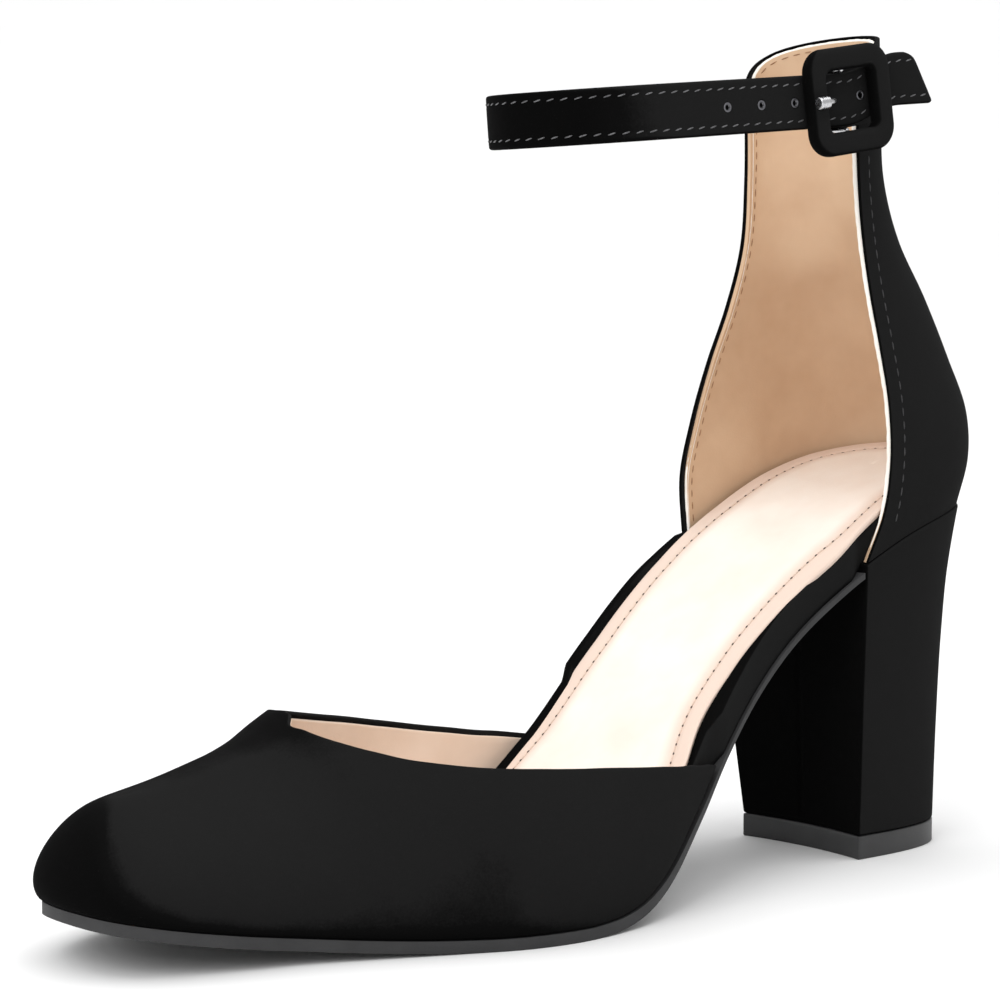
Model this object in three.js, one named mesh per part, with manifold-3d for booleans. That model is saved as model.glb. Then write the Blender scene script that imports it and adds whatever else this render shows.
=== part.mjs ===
// An ankle strap pump for the left foot, size 38, in the two-piece open-waist style.
// A hollow vamp and a tall heel quarter stand around a wrapped footbed, over a thin outsole
// and a block heel. A strap runs from the quarter's inner side around the ankle to a covered buckle.
// Millimetres, +Z up. While it is drawn, X runs from the toe tip (0) back to the heel,
// and Y is negative on the outer side. At the end the shoe is centred over the floor.
import * as THREE from "three";
import { mergeVertices } from "three/addons/utils/BufferGeometryUtils.js";
import Module from "manifold-3d";

const wasm = await Module();
wasm.setup();

// Driving sizes.
const shoeLength = 235; // toe tip to the back of the seat, along the sole in plan
const ballWidth = 80;
const heelHeight = 78.5; // floor to the underside of the seat, at the back
const toeSpring = 9.3;
const crownHeight = 44.3; // floor to the crown of the vamp at the throat
const quarterHeight = 107.5; // seat to the top of the back
const outsoleThickness = 2.2;
const footbedThickness = 5.6;
const sockThickness = 1.2;
const seatPad = 3.6; // the heel seat is padded by this much at its rim
const seatDish = 1.6; // and its middle lies this much lower
const seatCup = 2.6; // the padding climbs by this much more at the very back
const archPad = 2.6; // the footbed's inner edge rises this much from the waist back
const vampWall = 1.8;
const quarterWall = 2;
const featherInset = 0.4; // the upper stands this far inside the edge of the sole
const sockInset = 3.2; // the lining on the footbed ends this far inside the edge of the sole
const topPieceHeight = 5.4;
const heelBaseWidth = 38;
const heelBaseDepth = 35.5;
const strapWidth = 11.6;
const strapThickness = 1.8;
const strapSlope = 0.085; // rise of the strap to the back
const frameLength = 23.2; // the covered buckle, along the strap
const frameHeight = 23.2;
const frameThickness = 3.4;
const frameRim = 5;
const barRadius = 1;
const tabThickness = 1.2;
const tabWidth = 10.6;
const prongRadius = 0.55;
const prongTipRadius = 1.15;
const eyeletBore = 0.75; // radius
const eyeletWall = 0.2;
const eyeletFlange = 1.35; // radius
const holePitch = 9.3;
const holeCount = 5;
const gap = 0.3; // between pieces that touch

// Where each piece starts and ends along the shoe, as shares of its length.
const treadFrom = 0.325;
const treadTo = 0.4106;
const throatAt = 0.232;
const vampEnd = 0.608;
const breastAt = 0.8106;
const outerFront = 0.815; // the quarter's front edge at the seat, outer side
const innerFront = 0.785;
const seatFrom = 0.8702; // from here the sole closes around the back

// The sole's edge in plan: shares of the length, and of the width at the ball.
const soleEdge = [
  { at: 0, outer: 0.062, inner: 0.062 },
  { at: 0.0064, outer: -0.072, inner: 0.179 },
  { at: 0.015, outer: -0.116, inner: 0.223 },
  { at: 0.045, outer: -0.182, inner: 0.305 },
  { at: 0.105, outer: -0.242, inner: 0.38 },
  { at: 0.17, outer: -0.288, inner: 0.436 },
  { at: 0.23, outer: -0.355, inner: 0.473 },
  { at: 0.29, outer: -0.427, inner: 0.492 },
  { at: 0.345, outer: -0.489, inner: 0.495 },
  { at: 0.39, outer: -0.51, inner: 0.479 },
  { at: 0.435, outer: -0.503, inner: 0.445 },
  { at: 0.48, outer: -0.482, inner: 0.409 },
  { at: 0.525, outer: -0.44, inner: 0.382 },
  { at: 0.575, outer: -0.38, inner: 0.368 },
  { at: 0.63, outer: -0.312, inner: 0.372 },
  { at: 0.685, outer: -0.267, inner: 0.381 },
  { at: 0.74, outer: -0.26, inner: 0.378 },
  { at: 0.795, outer: -0.292, inner: 0.358 },
  { at: 0.835, outer: -0.315, inner: 0.343 },
  { at: seatFrom, outer: -0.322, inner: 0.335 },
];

// The rise of the sole behind the tread: shares of the length and of the heel height.
const archRise = [
  { at: treadTo, rise: 0 },
  { at: 0.445, rise: 0.009 },
  { at: 0.47, rise: 0.027 },
  { at: 0.505, rise: 0.073 },
  { at: 0.568, rise: 0.217 },
  { at: 0.653, rise: 0.445 },
  { at: 0.738, rise: 0.669 },
  { at: 0.81, rise: 0.83 },
  { at: 0.87, rise: 0.922 },
  { at: 0.93, rise: 0.973 },
  { at: 1, rise: 1 },
];

// The crown of the last over the vamp: shares of the length, of the crown height, and of the ball width.
const vampCrown = [
  { at: 0.059, height: 0.72, centre: 0.08, square: 2.1 },
  { at: 0.087, height: 0.738, centre: 0.085, square: 2.1 },
  { at: 0.12, height: 0.772, centre: 0.085, square: 2.1 },
  { at: 0.153, height: 0.818, centre: 0.083, square: 2.1 },
  { at: 0.185, height: 0.871, centre: 0.08, square: 2.1 },
  { at: 0.206, height: 0.92, centre: 0.079, square: 2.1 },
  { at: throatAt, height: 1, centre: 0.077, square: 2.15 },
  { at: 0.28, height: 1.12, centre: 0.065, square: 2.3 },
  { at: 0.36, height: 1.277, centre: 0.04, square: 2.5 },
  { at: 0.45, height: 1.47, centre: 0.012, square: 2.7 },
  { at: vampEnd, height: 1.986, centre: 0.01, square: 2.8 },
];

// The vamp's top line: how far it runs up the section (1 is the crown), and the share of the length there.
const vampTopOuter = [
  { up: 0, at: vampEnd },
  { up: 0.02, at: 0.588 },
  { up: 0.04, at: 0.5744 },
  { up: 0.1, at: 0.540 },
  { up: 0.18, at: 0.496 },
  { up: 0.26, at: 0.442 },
  { up: 0.34, at: 0.375 },
  { up: 0.42, at: 0.316 },
  { up: 0.5, at: 0.278 },
  { up: 0.6, at: 0.251 },
  { up: 0.72, at: 0.232 },
  { up: 0.86, at: 0.223 },
  { up: 0.96, at: 0.2234 },
  { up: 1, at: throatAt },
];
const vampTopInner = [
  { up: 0, at: vampEnd },
  { up: 0.02, at: 0.586 },
  { up: 0.04, at: 0.572 },
  { up: 0.1, at: 0.537 },
  { up: 0.18, at: 0.494 },
  { up: 0.26, at: 0.446 },
  { up: 0.34, at: 0.395 },
  { up: 0.42, at: 0.350 },
  { up: 0.5, at: 0.313 },
  { up: 0.6, at: 0.279 },
  { up: 0.72, at: 0.253 },
  { up: 0.86, at: 0.238 },
  { up: 1, at: throatAt },
];

// The lining's margin along the sole, as shares of its inset: narrow along the back of the outer waist.
const liningMargin = [
  { at: 0, outer: 1, inner: 1 },
  { at: 0.5, outer: 1.06, inner: 1.2 },
  { at: 0.575, outer: 1.35, inner: 1.42 },
  { at: 0.62, outer: 1.7, inner: 1.44 },
  { at: 0.664, outer: 1.25, inner: 1.42 },
  { at: 0.71, outer: 0.5, inner: 1.36 },
  { at: 0.766, outer: 0.2, inner: 1.2 },
  { at: 0.795, outer: 0.25, inner: 1.12 },
  { at: 0.82, outer: 0.7, inner: 1.08 },
  { at: 0.845, outer: 1, inner: 1.04 },
  { at: 0.9, outer: 1, inner: 1 },
  { at: 1, outer: 1, inner: 1 },
];

// The quarter by height over the seat: how far its front edges and its back move along the shoe,
// as shares of the length, its width as a share of the seat's, and how far its plan has turned
// from the seat's outline (0) to an oval (1).
const quarterShape = [
  { up: 0, outerFront: 0, innerFront: 0, back: 0, width: 1, oval: 0 },
  { up: 0.1, outerFront: 0.019, innerFront: -0.003, back: 0.012, width: 1.035, oval: 0.02 },
  { up: 0.2, outerFront: 0.028, innerFront: -0.006, back: 0.009, width: 1.03, oval: 0.12 },
  { up: 0.32, outerFront: 0.032, innerFront: 0.001, back: -0.014, width: 0.97, oval: 0.4 },
  { up: 0.45, outerFront: 0.027, innerFront: 0.014, back: -0.042, width: 0.89, oval: 0.7 },
  { up: 0.57, outerFront: 0.018, innerFront: 0.033, back: -0.078, width: 0.835, oval: 0.9 },
  { up: 0.7, outerFront: 0.01, innerFront: 0.049, back: -0.1, width: 0.8, oval: 1 },
  { up: 0.85, outerFront: 0.005, innerFront: 0.053, back: -0.103, width: 0.785, oval: 1 },
  { up: 1, outerFront: 0.004, innerFront: 0.053, back: -0.107, width: 0.785, oval: 1 },
];
const quarterCornerDrop = 11.2; // the top line falls this far from the back to its front corners

// The heel block by height: shares of the way from the base outline to the seat outline.
const heelFlare = [
  { up: 0, toSeat: 0, breast: 0 },
  { up: 0.3, toSeat: 0.1, breast: 0.28 },
  { up: 0.6, toSeat: 0.28, breast: 0.58 },
  { up: 0.8, toSeat: 0.52, breast: 0.79 },
  { up: 0.9, toSeat: 0.74, breast: 0.9 },
  { up: 1, toSeat: 1, breast: 1 },
];
const breastHollow = 2;
const heelBaseFrom = 0.8277; // share of the length at the breast of the base
const heelBaseSide = 0.5; // how much of the base width lies on the outer side

// The strap's middle line in plan, from the front of its loop to the buckle, outer side then inner:
// shares of the length, and of the loop's half width.
const loopHalfWidth = 24.4;
const loopFront = 0.4574;
const buckleAt = 0.7553;
const strapTail = 26.7; // buckle to the longer corner of the tail
const tailSlantShare = 0.49; // the tail's end leans by this share of the strap's width
const strapDrift = 0.083; // the buckle side leads away from the foot to the back
const strapDrop = 17.3; // from the top of the back down to the strap's middle at the buckle
const loopTurn = [
  { across: 0, at: 0 },
  { across: 0.42, at: 0.013 },
  { across: 0.72, at: 0.041 },
  { across: 0.92, at: 0.083 },
  { across: 1, at: 0.136 },
];

const lerp = THREE.MathUtils.lerp;
const clamp = THREE.MathUtils.clamp;
const vector = (x, y, z) => new THREE.Vector3(x, y, z);
const range = (count, make) => Array.from({ length: count }, (_, i) => make(i));

// Reads a column of a table at a key, on a smooth curve through the rows.
function read(table, key, column, at) {
  const last = table.length - 1;
  const slope = (i) => (table[i + 1][column] - table[i][column]) / (table[i + 1][key] - table[i][key]);
  const tangent = (i) => {
    if (i === 0) return slope(0);
    if (i === last) return slope(last - 1);
    const before = table[i][key] - table[i - 1][key];
    const after = table[i + 1][key] - table[i][key];
    return (slope(i - 1) * after + slope(i) * before) / (before + after);
  };
  let row = 0;
  const sign = Math.sign(table[last][key] - table[0][key]);
  while (row < last - 1 && (at - table[row + 1][key]) * sign > 0) row += 1;
  const step = table[row + 1][key] - table[row][key];
  const t = clamp((at - table[row][key]) / step, 0, 1);
  const from = table[row][column];
  const to = table[row + 1][column];
  const rise = to - from;
  const a = tangent(row) * step - rise;
  const b = rise - tangent(row + 1) * step;
  return from + rise * t + t * (1 - t) * (a * (1 - t) + b * t);
}

// The underside of the sole along the shoe: toe spring, flat tread, arch and seat.
function soleBottom(x) {
  const share = x / shoeLength;
  if (share < treadFrom) return toeSpring * Math.pow(1 - Math.max(share, 0) / treadFrom, 1.7);
  if (share < treadTo) return 0;
  return heelHeight * Math.max(0, read(archRise, "at", "rise", Math.min(share, 1)));
}

// A surface that lies a distance over the underside, measured square to it.
function level(x, thickness) {
  const slope = soleBottom(x + 0.5) - soleBottom(x - 0.5);
  return soleBottom(x) + thickness * Math.hypot(1, slope);
}

const rootedEdge = soleEdge.map((row) => ({ ...row, root: Math.sqrt(row.at) }));
const seatRoundness = 2.25;

// The edge of the sole at a share of the length: side is "outer" or "inner".
function edgeAt(side, share) {
  const from = Math.min(share, seatFrom);
  const width = ballWidth * read(rootedEdge, "root", side, Math.sqrt(Math.max(from, 0)));
  if (share <= seatFrom) return width;
  const closing = Math.min((share - seatFrom) / (1 - seatFrom), 1);
  return width * Math.pow(1 - Math.pow(closing, seatRoundness), 1 / seatRoundness);
}

// A point of the edge moved inwards, square to the edge. Stations close up at the toe and the back.
function edgePoint(side, station, inset) {
  const spot = (s) => {
    const share = (1 - Math.cos(Math.PI * clamp(s, 0, 1))) / 2;
    return vector(shoeLength * share, edgeAt(side, share), 0);
  };
  const here = spot(station);
  if (inset === 0) return here;
  const small = 0.002;
  const along = spot(station + small).sub(spot(station - small));
  if (station < small) along.set(0, side === "outer" ? -1 : 1, 0);
  if (station > 1 - small) along.set(0, side === "outer" ? 1 : -1, 0);
  along.normalize();
  const turn = side === "outer" ? 1 : -1;
  return here.add(vector(-along.y * turn, along.x * turn, 0).multiplyScalar(inset));
}
const stationOf = (share) => Math.acos(1 - 2 * clamp(share, 0, 1)) / Math.PI;

// A closed body from layers of points on one grid: the first layer faces in, the last faces out.
function stack(layers) {
  const skin = layers[layers.length - 1];
  const columns = skin[0].length;
  const names = new Map();
  const ids = skin.flat().map((point, index) => {
    const name = point.toArray().map((value) => Math.round(value * 5000)).join();
    if (!names.has(name)) names.set(name, index);
    return names.get(name);
  });
  const faces = [];
  const addFace = (a, b, c) => {
    if (a !== b && b !== c && c !== a) faces.push([a, b, c]);
  };
  for (let i = 0; i + 1 < skin.length; i += 1) {
    for (let j = 0; j + 1 < columns; j += 1) {
      const corner = [i * columns + j, i * columns + j + 1, (i + 1) * columns + j + 1, (i + 1) * columns + j];
      const [a, b, c, d] = corner.map((index) => ids[index]);
      addFace(a, b, c);
      addFace(a, c, d);
    }
  }
  const edges = new Set(faces.flatMap(([a, b, c]) => [`${a},${b}`, `${b},${c}`, `${c},${a}`]));
  const rims = [...edges].map((edge) => edge.split(",").map(Number)).filter(([a, b]) => !edges.has(`${b},${a}`));
  const points = layers.map((layer) => layer.flat());
  const positions = [];
  const addTriangle = (...corners) => corners.forEach((point) => positions.push(...point.toArray()));
  const outer = points[points.length - 1];
  const inner = points[0];
  faces.forEach(([a, b, c]) => {
    addTriangle(outer[a], outer[b], outer[c]);
    addTriangle(inner[a], inner[c], inner[b]);
  });
  for (let k = 0; k + 1 < points.length; k += 1) {
    rims.forEach(([a, b]) => {
      addTriangle(points[k + 1][b], points[k + 1][a], points[k][a]);
      addTriangle(points[k + 1][b], points[k][a], points[k][b]);
    });
  }
  const geometry = new THREE.BufferGeometry();
  geometry.setAttribute("position", new THREE.Float32BufferAttribute(positions, 3));
  return facingOut(geometry);
}

// Turns every face round if the body is inside out.
function facingOut(geometry) {
  const position = geometry.getAttribute("position");
  const corner = (i) => new THREE.Vector3().fromBufferAttribute(position, i);
  let volume = 0;
  for (let i = 0; i < position.count; i += 3) volume += corner(i).dot(corner(i + 1).cross(corner(i + 2)));
  if (volume > 0) return geometry;
  for (let i = 0; i < position.count; i += 3) {
    const [b, c] = [corner(i + 1), corner(i + 2)];
    position.setXYZ(i + 1, c.x, c.y, c.z);
    position.setXYZ(i + 2, b.x, b.y, b.z);
  }
  return geometry;
}

// The same grid moved square to its surface, for the inside of a wall.
function insideOf(grid, wall) {
  const columns = grid[0].length;
  const normals = new Map();
  const nameOf = (point) => point.toArray().map((value) => Math.round(value * 5000)).join();
  const addNormal = (point, normal) => {
    const name = nameOf(point);
    if (!normals.has(name)) normals.set(name, vector(0, 0, 0));
    normals.get(name).add(normal);
  };
  for (let i = 0; i + 1 < grid.length; i += 1) {
    for (let j = 0; j + 1 < columns; j += 1) {
      const corners = [grid[i][j], grid[i][j + 1], grid[i + 1][j + 1], grid[i + 1][j]];
      const normal = corners[2].clone().sub(corners[0]).cross(corners[3].clone().sub(corners[1]));
      corners.forEach((corner) => addNormal(corner, normal));
    }
  }
  const points = grid.flat();
  const centre = points.reduce((sum, point) => sum.add(point), vector(0, 0, 0)).divideScalar(points.length);
  const towards = points.reduce((sum, point) => sum + normals.get(nameOf(point)).dot(centre.clone().sub(point)), 0);
  return grid.map((row) => row.map((point) => {
    const normal = normals.get(nameOf(point)).clone().normalize();
    return point.clone().addScaledVector(normal, wall * Math.sign(towards));
  }));
}

// A solid with merged corners, for joining and cutting.
function solidOf(geometry) {
  const bare = new THREE.BufferGeometry();
  const source = geometry.index ? geometry.toNonIndexed() : geometry;
  bare.setAttribute("position", source.getAttribute("position").clone());
  const merged = mergeVertices(bare, 1e-4);
  return new wasm.Manifold(new wasm.Mesh({
    numProp: 3,
    vertProperties: new Float32Array(merged.getAttribute("position").array),
    triVerts: new Uint32Array(merged.index.array),
  }));
}
function geometryOf(solid) {
  const mesh = solid.getMesh();
  const geometry = new THREE.BufferGeometry();
  geometry.setAttribute("position", new THREE.BufferAttribute(mesh.vertProperties, 3));
  geometry.setIndex(new THREE.BufferAttribute(mesh.triVerts, 1));
  return geometry.toNonIndexed();
}

// Outsole: one thin sheet from the toe tip to the breast of the heel.
function outsoleGeometry() {
  const rows = 34;
  const across = 6;
  const end = stationOf(breastAt);
  const layer = (thickness) => range(rows, (i) => {
    const station = end * i / (rows - 1);
    const outer = edgePoint("outer", station, 0);
    const inner = edgePoint("inner", station, 0);
    return range(across, (j) => {
      const point = outer.clone().lerp(inner, j / (across - 1));
      return point.setZ(level(point.x, thickness));
    });
  });
  return stack([layer(0), layer(outsoleThickness)]);
}

// How far the footbed stands inside the sole's edge: under the vamp and in the quarter it
// leaves room for their walls, and between them it reaches the edge.
function footbedInset(side, share) {
  const step = 0.012;
  const front = side === "outer" ? outerFront : innerFront;
  const inVamp = featherInset + vampWall + gap + 0.2;
  const inQuarter = featherInset + quarterWall + gap + 0.2;
  const leaveVamp = clamp((share - vampEnd - 0.004) / step, 0, 1);
  const enterQuarter = clamp((share - front + step + 0.004) / step, 0, 1);
  const open = featherInset + 0.2;
  return lerp(inVamp, open, leaveVamp) + (inQuarter - open) * enterQuarter;
}

// How far the padding lifts the top of the footing at a share of the length, and across it:
// a dished seat that climbs at the back, and a raised inner edge from the waist back.
function padLift(share, cross) {
  const { smoothstep } = THREE.MathUtils;
  const dish = seatDish * (1 - smoothstep(share, 0.94, 1)) * (1 - Math.pow(2 * cross - 1, 2));
  const seat = smoothstep(share, innerFront, 0.93) * (seatPad - dish) + smoothstep(share, 0.88, 1) * seatCup;
  const arch = smoothstep(share, 0.52, 0.66) * (1 - smoothstep(share, 0.8, 0.95)) * archPad;
  return seat + arch * Math.pow(cross, 3);
}

// The lining on the footbed stops short of the sole's edge.
function liningInset(side, share) {
  return sockInset * read(liningMargin, "at", side, share);
}

// A sheet of the footing, from the toe to the back, between two levels.
function footing(from, to, insetAt, followsSeat) {
  const steps = [vampEnd + 0.004, vampEnd + 0.016, outerFront - 0.016, outerFront - 0.004,
    innerFront - 0.016, innerFront - 0.004].map(stationOf);
  const even = 38;
  const regular = range(even, (i) => i / (even - 1)).filter((s) => steps.every((t) => Math.abs(s - t) > 0.008));
  const stations = [...regular, ...steps].sort((a, b) => a - b);
  const across = 6;
  const layer = (thickness, padded) => stations.map((station) => {
    const share = (1 - Math.cos(Math.PI * station)) / 2;
    const outer = edgePoint("outer", station, insetAt("outer", share));
    const inner = edgePoint("inner", station, insetAt("inner", share));
    return range(across, (j) => {
      const cross = j / (across - 1);
      const point = outer.clone().lerp(inner, cross);
      return point.setZ(level(point.x, thickness) + (padded ? padLift(share, cross) : 0));
    });
  });
  return stack([layer(from, followsSeat), layer(to, true)]);
}
const footbedFrom = outsoleThickness + gap;
const sockFrom = footbedFrom + footbedThickness + gap;

// A point on the outside of the vamp: station along the feather line, and the angle up the section.
const toeFan = 0.059; // the crown starts this share of the length behind the tip
const sideBulge = 2.2;
const toeBulge = 2.8;
function vampPoint(side, share, angle) {
  const foot = edgePoint(side, stationOf(share), featherInset);
  const crownShare = share + toeFan * Math.pow(Math.max(0, 1 - share / throatAt), 2);
  const centre = ballWidth * read(vampCrown, "at", "centre", crownShare);
  const square = read(vampCrown, "at", "square", crownShare);
  const crown = vector(shoeLength * crownShare, centre, crownHeight * read(vampCrown, "at", "height", crownShare));
  const bottom = level(foot.x, outsoleThickness + gap);
  const over = Math.pow(Math.max(Math.cos(angle), 0), 2 / square);
  const up = Math.pow(Math.sin(angle), 2 / square);
  const outwards = foot.clone().setZ(0).sub(vector(crown.x, crown.y, 0)).normalize();
  const nearToe = Math.max(0, 1 - share / 0.12);
  const bulge = lerp(sideBulge, toeBulge, nearToe * nearToe)
    * Math.sin(Math.PI * Math.pow(up, 0.6)) * Math.pow(1 - up, 0.3);
  const fade = clamp((vampEnd - share) / 0.08, 0, 1);
  const point = vector(lerp(crown.x, foot.x, over), lerp(crown.y, foot.y, over), lerp(bottom, crown.z, up));
  return point.addScaledVector(outwards, bulge * fade);
}

// Vamp: rows of equal height run from the toe back to the top line, over the crown from side to side.
function vampSkin() {
  const rows = 26;
  const half = 13;
  const angles = range(2 * half - 1, (j) => Math.PI / 2 * j / (half - 1));
  return range(rows, (i) => angles.map((angle) => {
    const side = angle <= Math.PI / 2 ? "outer" : "inner";
    const climb = side === "outer" ? angle : Math.PI - angle;
    const top = side === "outer" ? vampTopOuter : vampTopInner;
    const end = read(top, "up", "at", climb / (Math.PI / 2));
    const t = i / (rows - 1);
    return vampPoint(side, end * t * lerp(t, 1, 0.35 * t), climb);
  }));
}

// A point on the outside of the quarter: turn runs from -1 at the outer front edge over the
// back (0) to 1 at the inner front edge, and height is measured from the seat.
function quarterPoint(turn, height) {
  const side = turn < 0 ? "outer" : "inner";
  const start = side === "outer" ? outerFront : innerFront;
  const share = lerp(start, 1, 1 - Math.pow(Math.abs(turn), 1.9));
  const foot = edgePoint(side, stationOf(share), featherInset);
  const forward = (shoeLength - foot.x) / (shoeLength * (1 - start));
  const up = height / quarterHeight;
  const front = shoeLength * read(quarterShape, "up", side === "outer" ? "outerFront" : "innerFront", up);
  const back = shoeLength * read(quarterShape, "up", "back", up);
  const width = read(quarterShape, "up", "width", up);
  const oval = read(quarterShape, "up", "oval", up);
  const bottom = level(foot.x, outsoleThickness + gap);
  const corner = edgePoint(side, stationOf(start), featherInset);
  const angle = Math.abs(turn) * Math.PI / 2;
  const ovalX = lerp(corner.x + front, shoeLength + back, Math.cos(angle));
  const ovalY = corner.y * Math.sin(angle);
  const x = lerp(foot.x + lerp(back, front, clamp(forward, 0, 1)), ovalX, oval);
  return vector(x, lerp(foot.y, ovalY, oval) * width, bottom + height);
}
function quarterTop(turn) {
  const fromFront = 1 - Math.abs(turn);
  const seat = quarterPoint(turn, 0).z;
  const back = level(shoeLength, outsoleThickness + gap) + quarterHeight;
  const drop = quarterCornerDrop * (1 - Math.sqrt(1 - Math.pow(1 - fromFront, 2)));
  return back - drop - seat;
}
function quarterSkin() {
  const rows = 15;
  const turns = 33;
  return range(rows, (i) => range(turns, (j) => {
    const turn = Math.sin(Math.PI / 2 * (2 * j / (turns - 1) - 1));
    return quarterPoint(turn, quarterTop(turn) * i / (rows - 1));
  }));
}

// A D outline for the heel as a grid: rows from the breast to the back, columns from side to side.
function heelLayer(up, heightOf) {
  const rows = 12;
  const across = 9;
  const toSeat = read(heelFlare, "up", "toSeat", up);
  const toBreast = read(heelFlare, "up", "breast", up);
  const seatBreast = breastAt + gap / shoeLength;
  return range(rows, (i) => {
    const t = Math.sin(Math.PI / 2 * i / (rows - 1));
    const seatShare = lerp(seatBreast, 1, t);
    const outer = edgePoint("outer", stationOf(seatShare), 0);
    const inner = edgePoint("inner", stationOf(seatShare), 0);
    const round = Math.pow(Math.max(0, 1 - Math.pow(t, 3)), 1 / 3);
    return range(across, (j) => {
      const cross = j / (across - 1);
      const hollow = breastHollow * (1 - Math.pow(2 * cross - 1, 2)) * Math.pow(1 - t, 2);
      const seat = outer.clone().lerp(inner, cross);
      const baseX = shoeLength * heelBaseFrom + heelBaseDepth * t;
      const baseY = heelBaseWidth * (cross - heelBaseSide) * round;
      const flare = lerp(toBreast, toSeat, t);
      const x = lerp(baseX, seat.x, flare) + hollow;
      const y = lerp(baseY, seat.y, flare);
      return vector(x, y, heightOf(seat.x + hollow));
    });
  });
}
function heelGeometry() {
  const bottom = topPieceHeight + gap;
  const layers = heelFlare.map(({ up }) =>
    heelLayer(up, (seatX) => lerp(bottom, level(seatX, outsoleThickness), up)));
  return stack(layers);
}
function topPieceGeometry() {
  return stack([heelLayer(0, () => 0), heelLayer(0, () => topPieceHeight)]);
}

// The strap lies in a plane that rises to the back. Here X runs back along it from the middle of
// the buckle, Y is across the shoe and Z is the strap's own width.
const strapAngle = Math.atan(strapSlope);
const buckleX = shoeLength * buckleAt;
const driftAngle = Math.atan(strapDrift);
const turnEnd = shoeLength * (loopFront + loopTurn[loopTurn.length - 1].at) - buckleX;
const buckleY = -loopHalfWidth + turnEnd * strapDrift;
const strapCentreHeight = level(shoeLength, outsoleThickness + gap) + quarterHeight - strapDrop;

// The strap's plane meets the quarter at this height over the seat on the inner side.
function quarterSlicePoint(turn, offset) {
  const heightAt = (x) => strapCentreHeight + (x - buckleX) * strapSlope;
  let point = quarterPoint(turn, quarterHeight * 0.95);
  const small = 0.01;
  const pointNear = (t) => quarterPoint(t, heightAt(point.x) - quarterPoint(t, 0).z);
  point = pointNear(turn);
  const along = pointNear(turn + small).sub(pointNear(turn - small)).setZ(0).normalize();
  const outwards = vector(along.y, -along.x, 0);
  return vector((point.x - buckleX) / Math.cos(strapAngle), point.y, 0).addScaledVector(outwards, offset);
}

function strapLine() {
  const stand = 2 * gap + strapThickness / 2;
  const onQuarter = [0.5, 0.62, 0.74, 0.86, 0.97].map((turn) => quarterSlicePoint(turn, stand));
  const inner = loopTurn.slice(1).reverse().map(({ across, at }) =>
    vector(shoeLength * (loopFront + at) - buckleX, across * loopHalfWidth, 0));
  const outer = loopTurn.map(({ across, at }) =>
    vector(shoeLength * (loopFront + at) - buckleX, -across * loopHalfWidth, 0));
  const straight = [0.35, 0.7].map((t) => vector(lerp(turnEnd, 0, t), lerp(-loopHalfWidth, buckleY, t), 0));
  const reachBack = strapTail + 3;
  const tail = [0, 0.5, 1].map((t) => vector(reachBack * t, buckleY - reachBack * t * strapDrift, 0));
  const between = onQuarter[onQuarter.length - 1].clone().lerp(inner[0], 0.5);
  between.y += 0.3;
  return new THREE.CatmullRomCurve3([...onQuarter, between, ...inner, ...outer, ...straight, ...tail], false, "centripetal");
}

// Behind the prong the strap steps up, and its tail stands higher.
const liftTo = 17;
const liftHeight = 3.9;
const strapLift = (along) => liftHeight * THREE.MathUtils.smoothstep(along, 0, liftTo);

// The strap as a flat band from its middle line: thickness across the line, width along Z.
function strapBand() {
  const steps = 86;
  const line = strapLine();
  const middle = range(steps + 1, (i) => line.getPoint(i / steps));
  const layer = (edge) => middle.map((point, i) => {
    const along = middle[Math.min(i + 1, steps)].clone().sub(middle[Math.max(i - 1, 0)]).normalize();
    const lift = point.y < 0 ? strapLift(point.x) : 0;
    return [-1, 1].map((face) => {
      const offset = vector(along.y, -along.x, 0).multiplyScalar(face * strapThickness / 2);
      return point.clone().add(offset).setZ(edge * strapWidth / 2 + lift);
    });
  });
  return stack([layer(-1), layer(1)]);
}

// Places a piece made at the buckle: X along the strap there, -Y out from the foot.
const frameTilt = 0.07;
const frameRaise = -0.05; // against the middle of the strap
const prongRaise = 0.35; // against the middle of the frame
const atBuckle = new THREE.Matrix4().makeRotationZ(-driftAngle);
atBuckle.multiply(new THREE.Matrix4().makeRotationY(-frameTilt)).setPosition(0, buckleY, frameRaise);
const tailAngle = Math.atan(tailSlantShare);
const tailSlant = strapWidth * tailSlantShare / 2;
const prongReach = 2.3; // the prong passes through the strap this far inside the front rim
const prongHoleAt = frameRim + prongReach - frameLength / 2;
const holeSpots = range(holeCount, (i) => prongHoleAt + holePitch * (1 - i));
function onStrap(spot) {
  const turn = new THREE.Matrix4().makeRotationZ(-driftAngle);
  const along = new THREE.Vector3(spot, 0, 0).applyMatrix4(turn);
  return turn.setPosition(along.x, buckleY + along.y, strapLift(along.x));
}
const holeRadius = eyeletBore + eyeletWall + 0.2;

function strapGeometry() {
  let strap = solidOf(strapBand());
  holeSpots.forEach((spot) => {
    const hole = new THREE.CylinderGeometry(holeRadius, holeRadius, 4 * strapThickness, 14);
    strap = strap.subtract(solidOf(hole.applyMatrix4(onStrap(spot))));
  });
  const cutter = new THREE.BoxGeometry(2 * strapWidth, 2 * strapWidth, 3 * strapWidth);
  cutter.translate(strapWidth, 0, 0).rotateY(-tailAngle).translate(strapTail - tailSlant, 0, 0).applyMatrix4(atBuckle);
  return geometryOf(strap.subtract(solidOf(cutter)));
}

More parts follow.
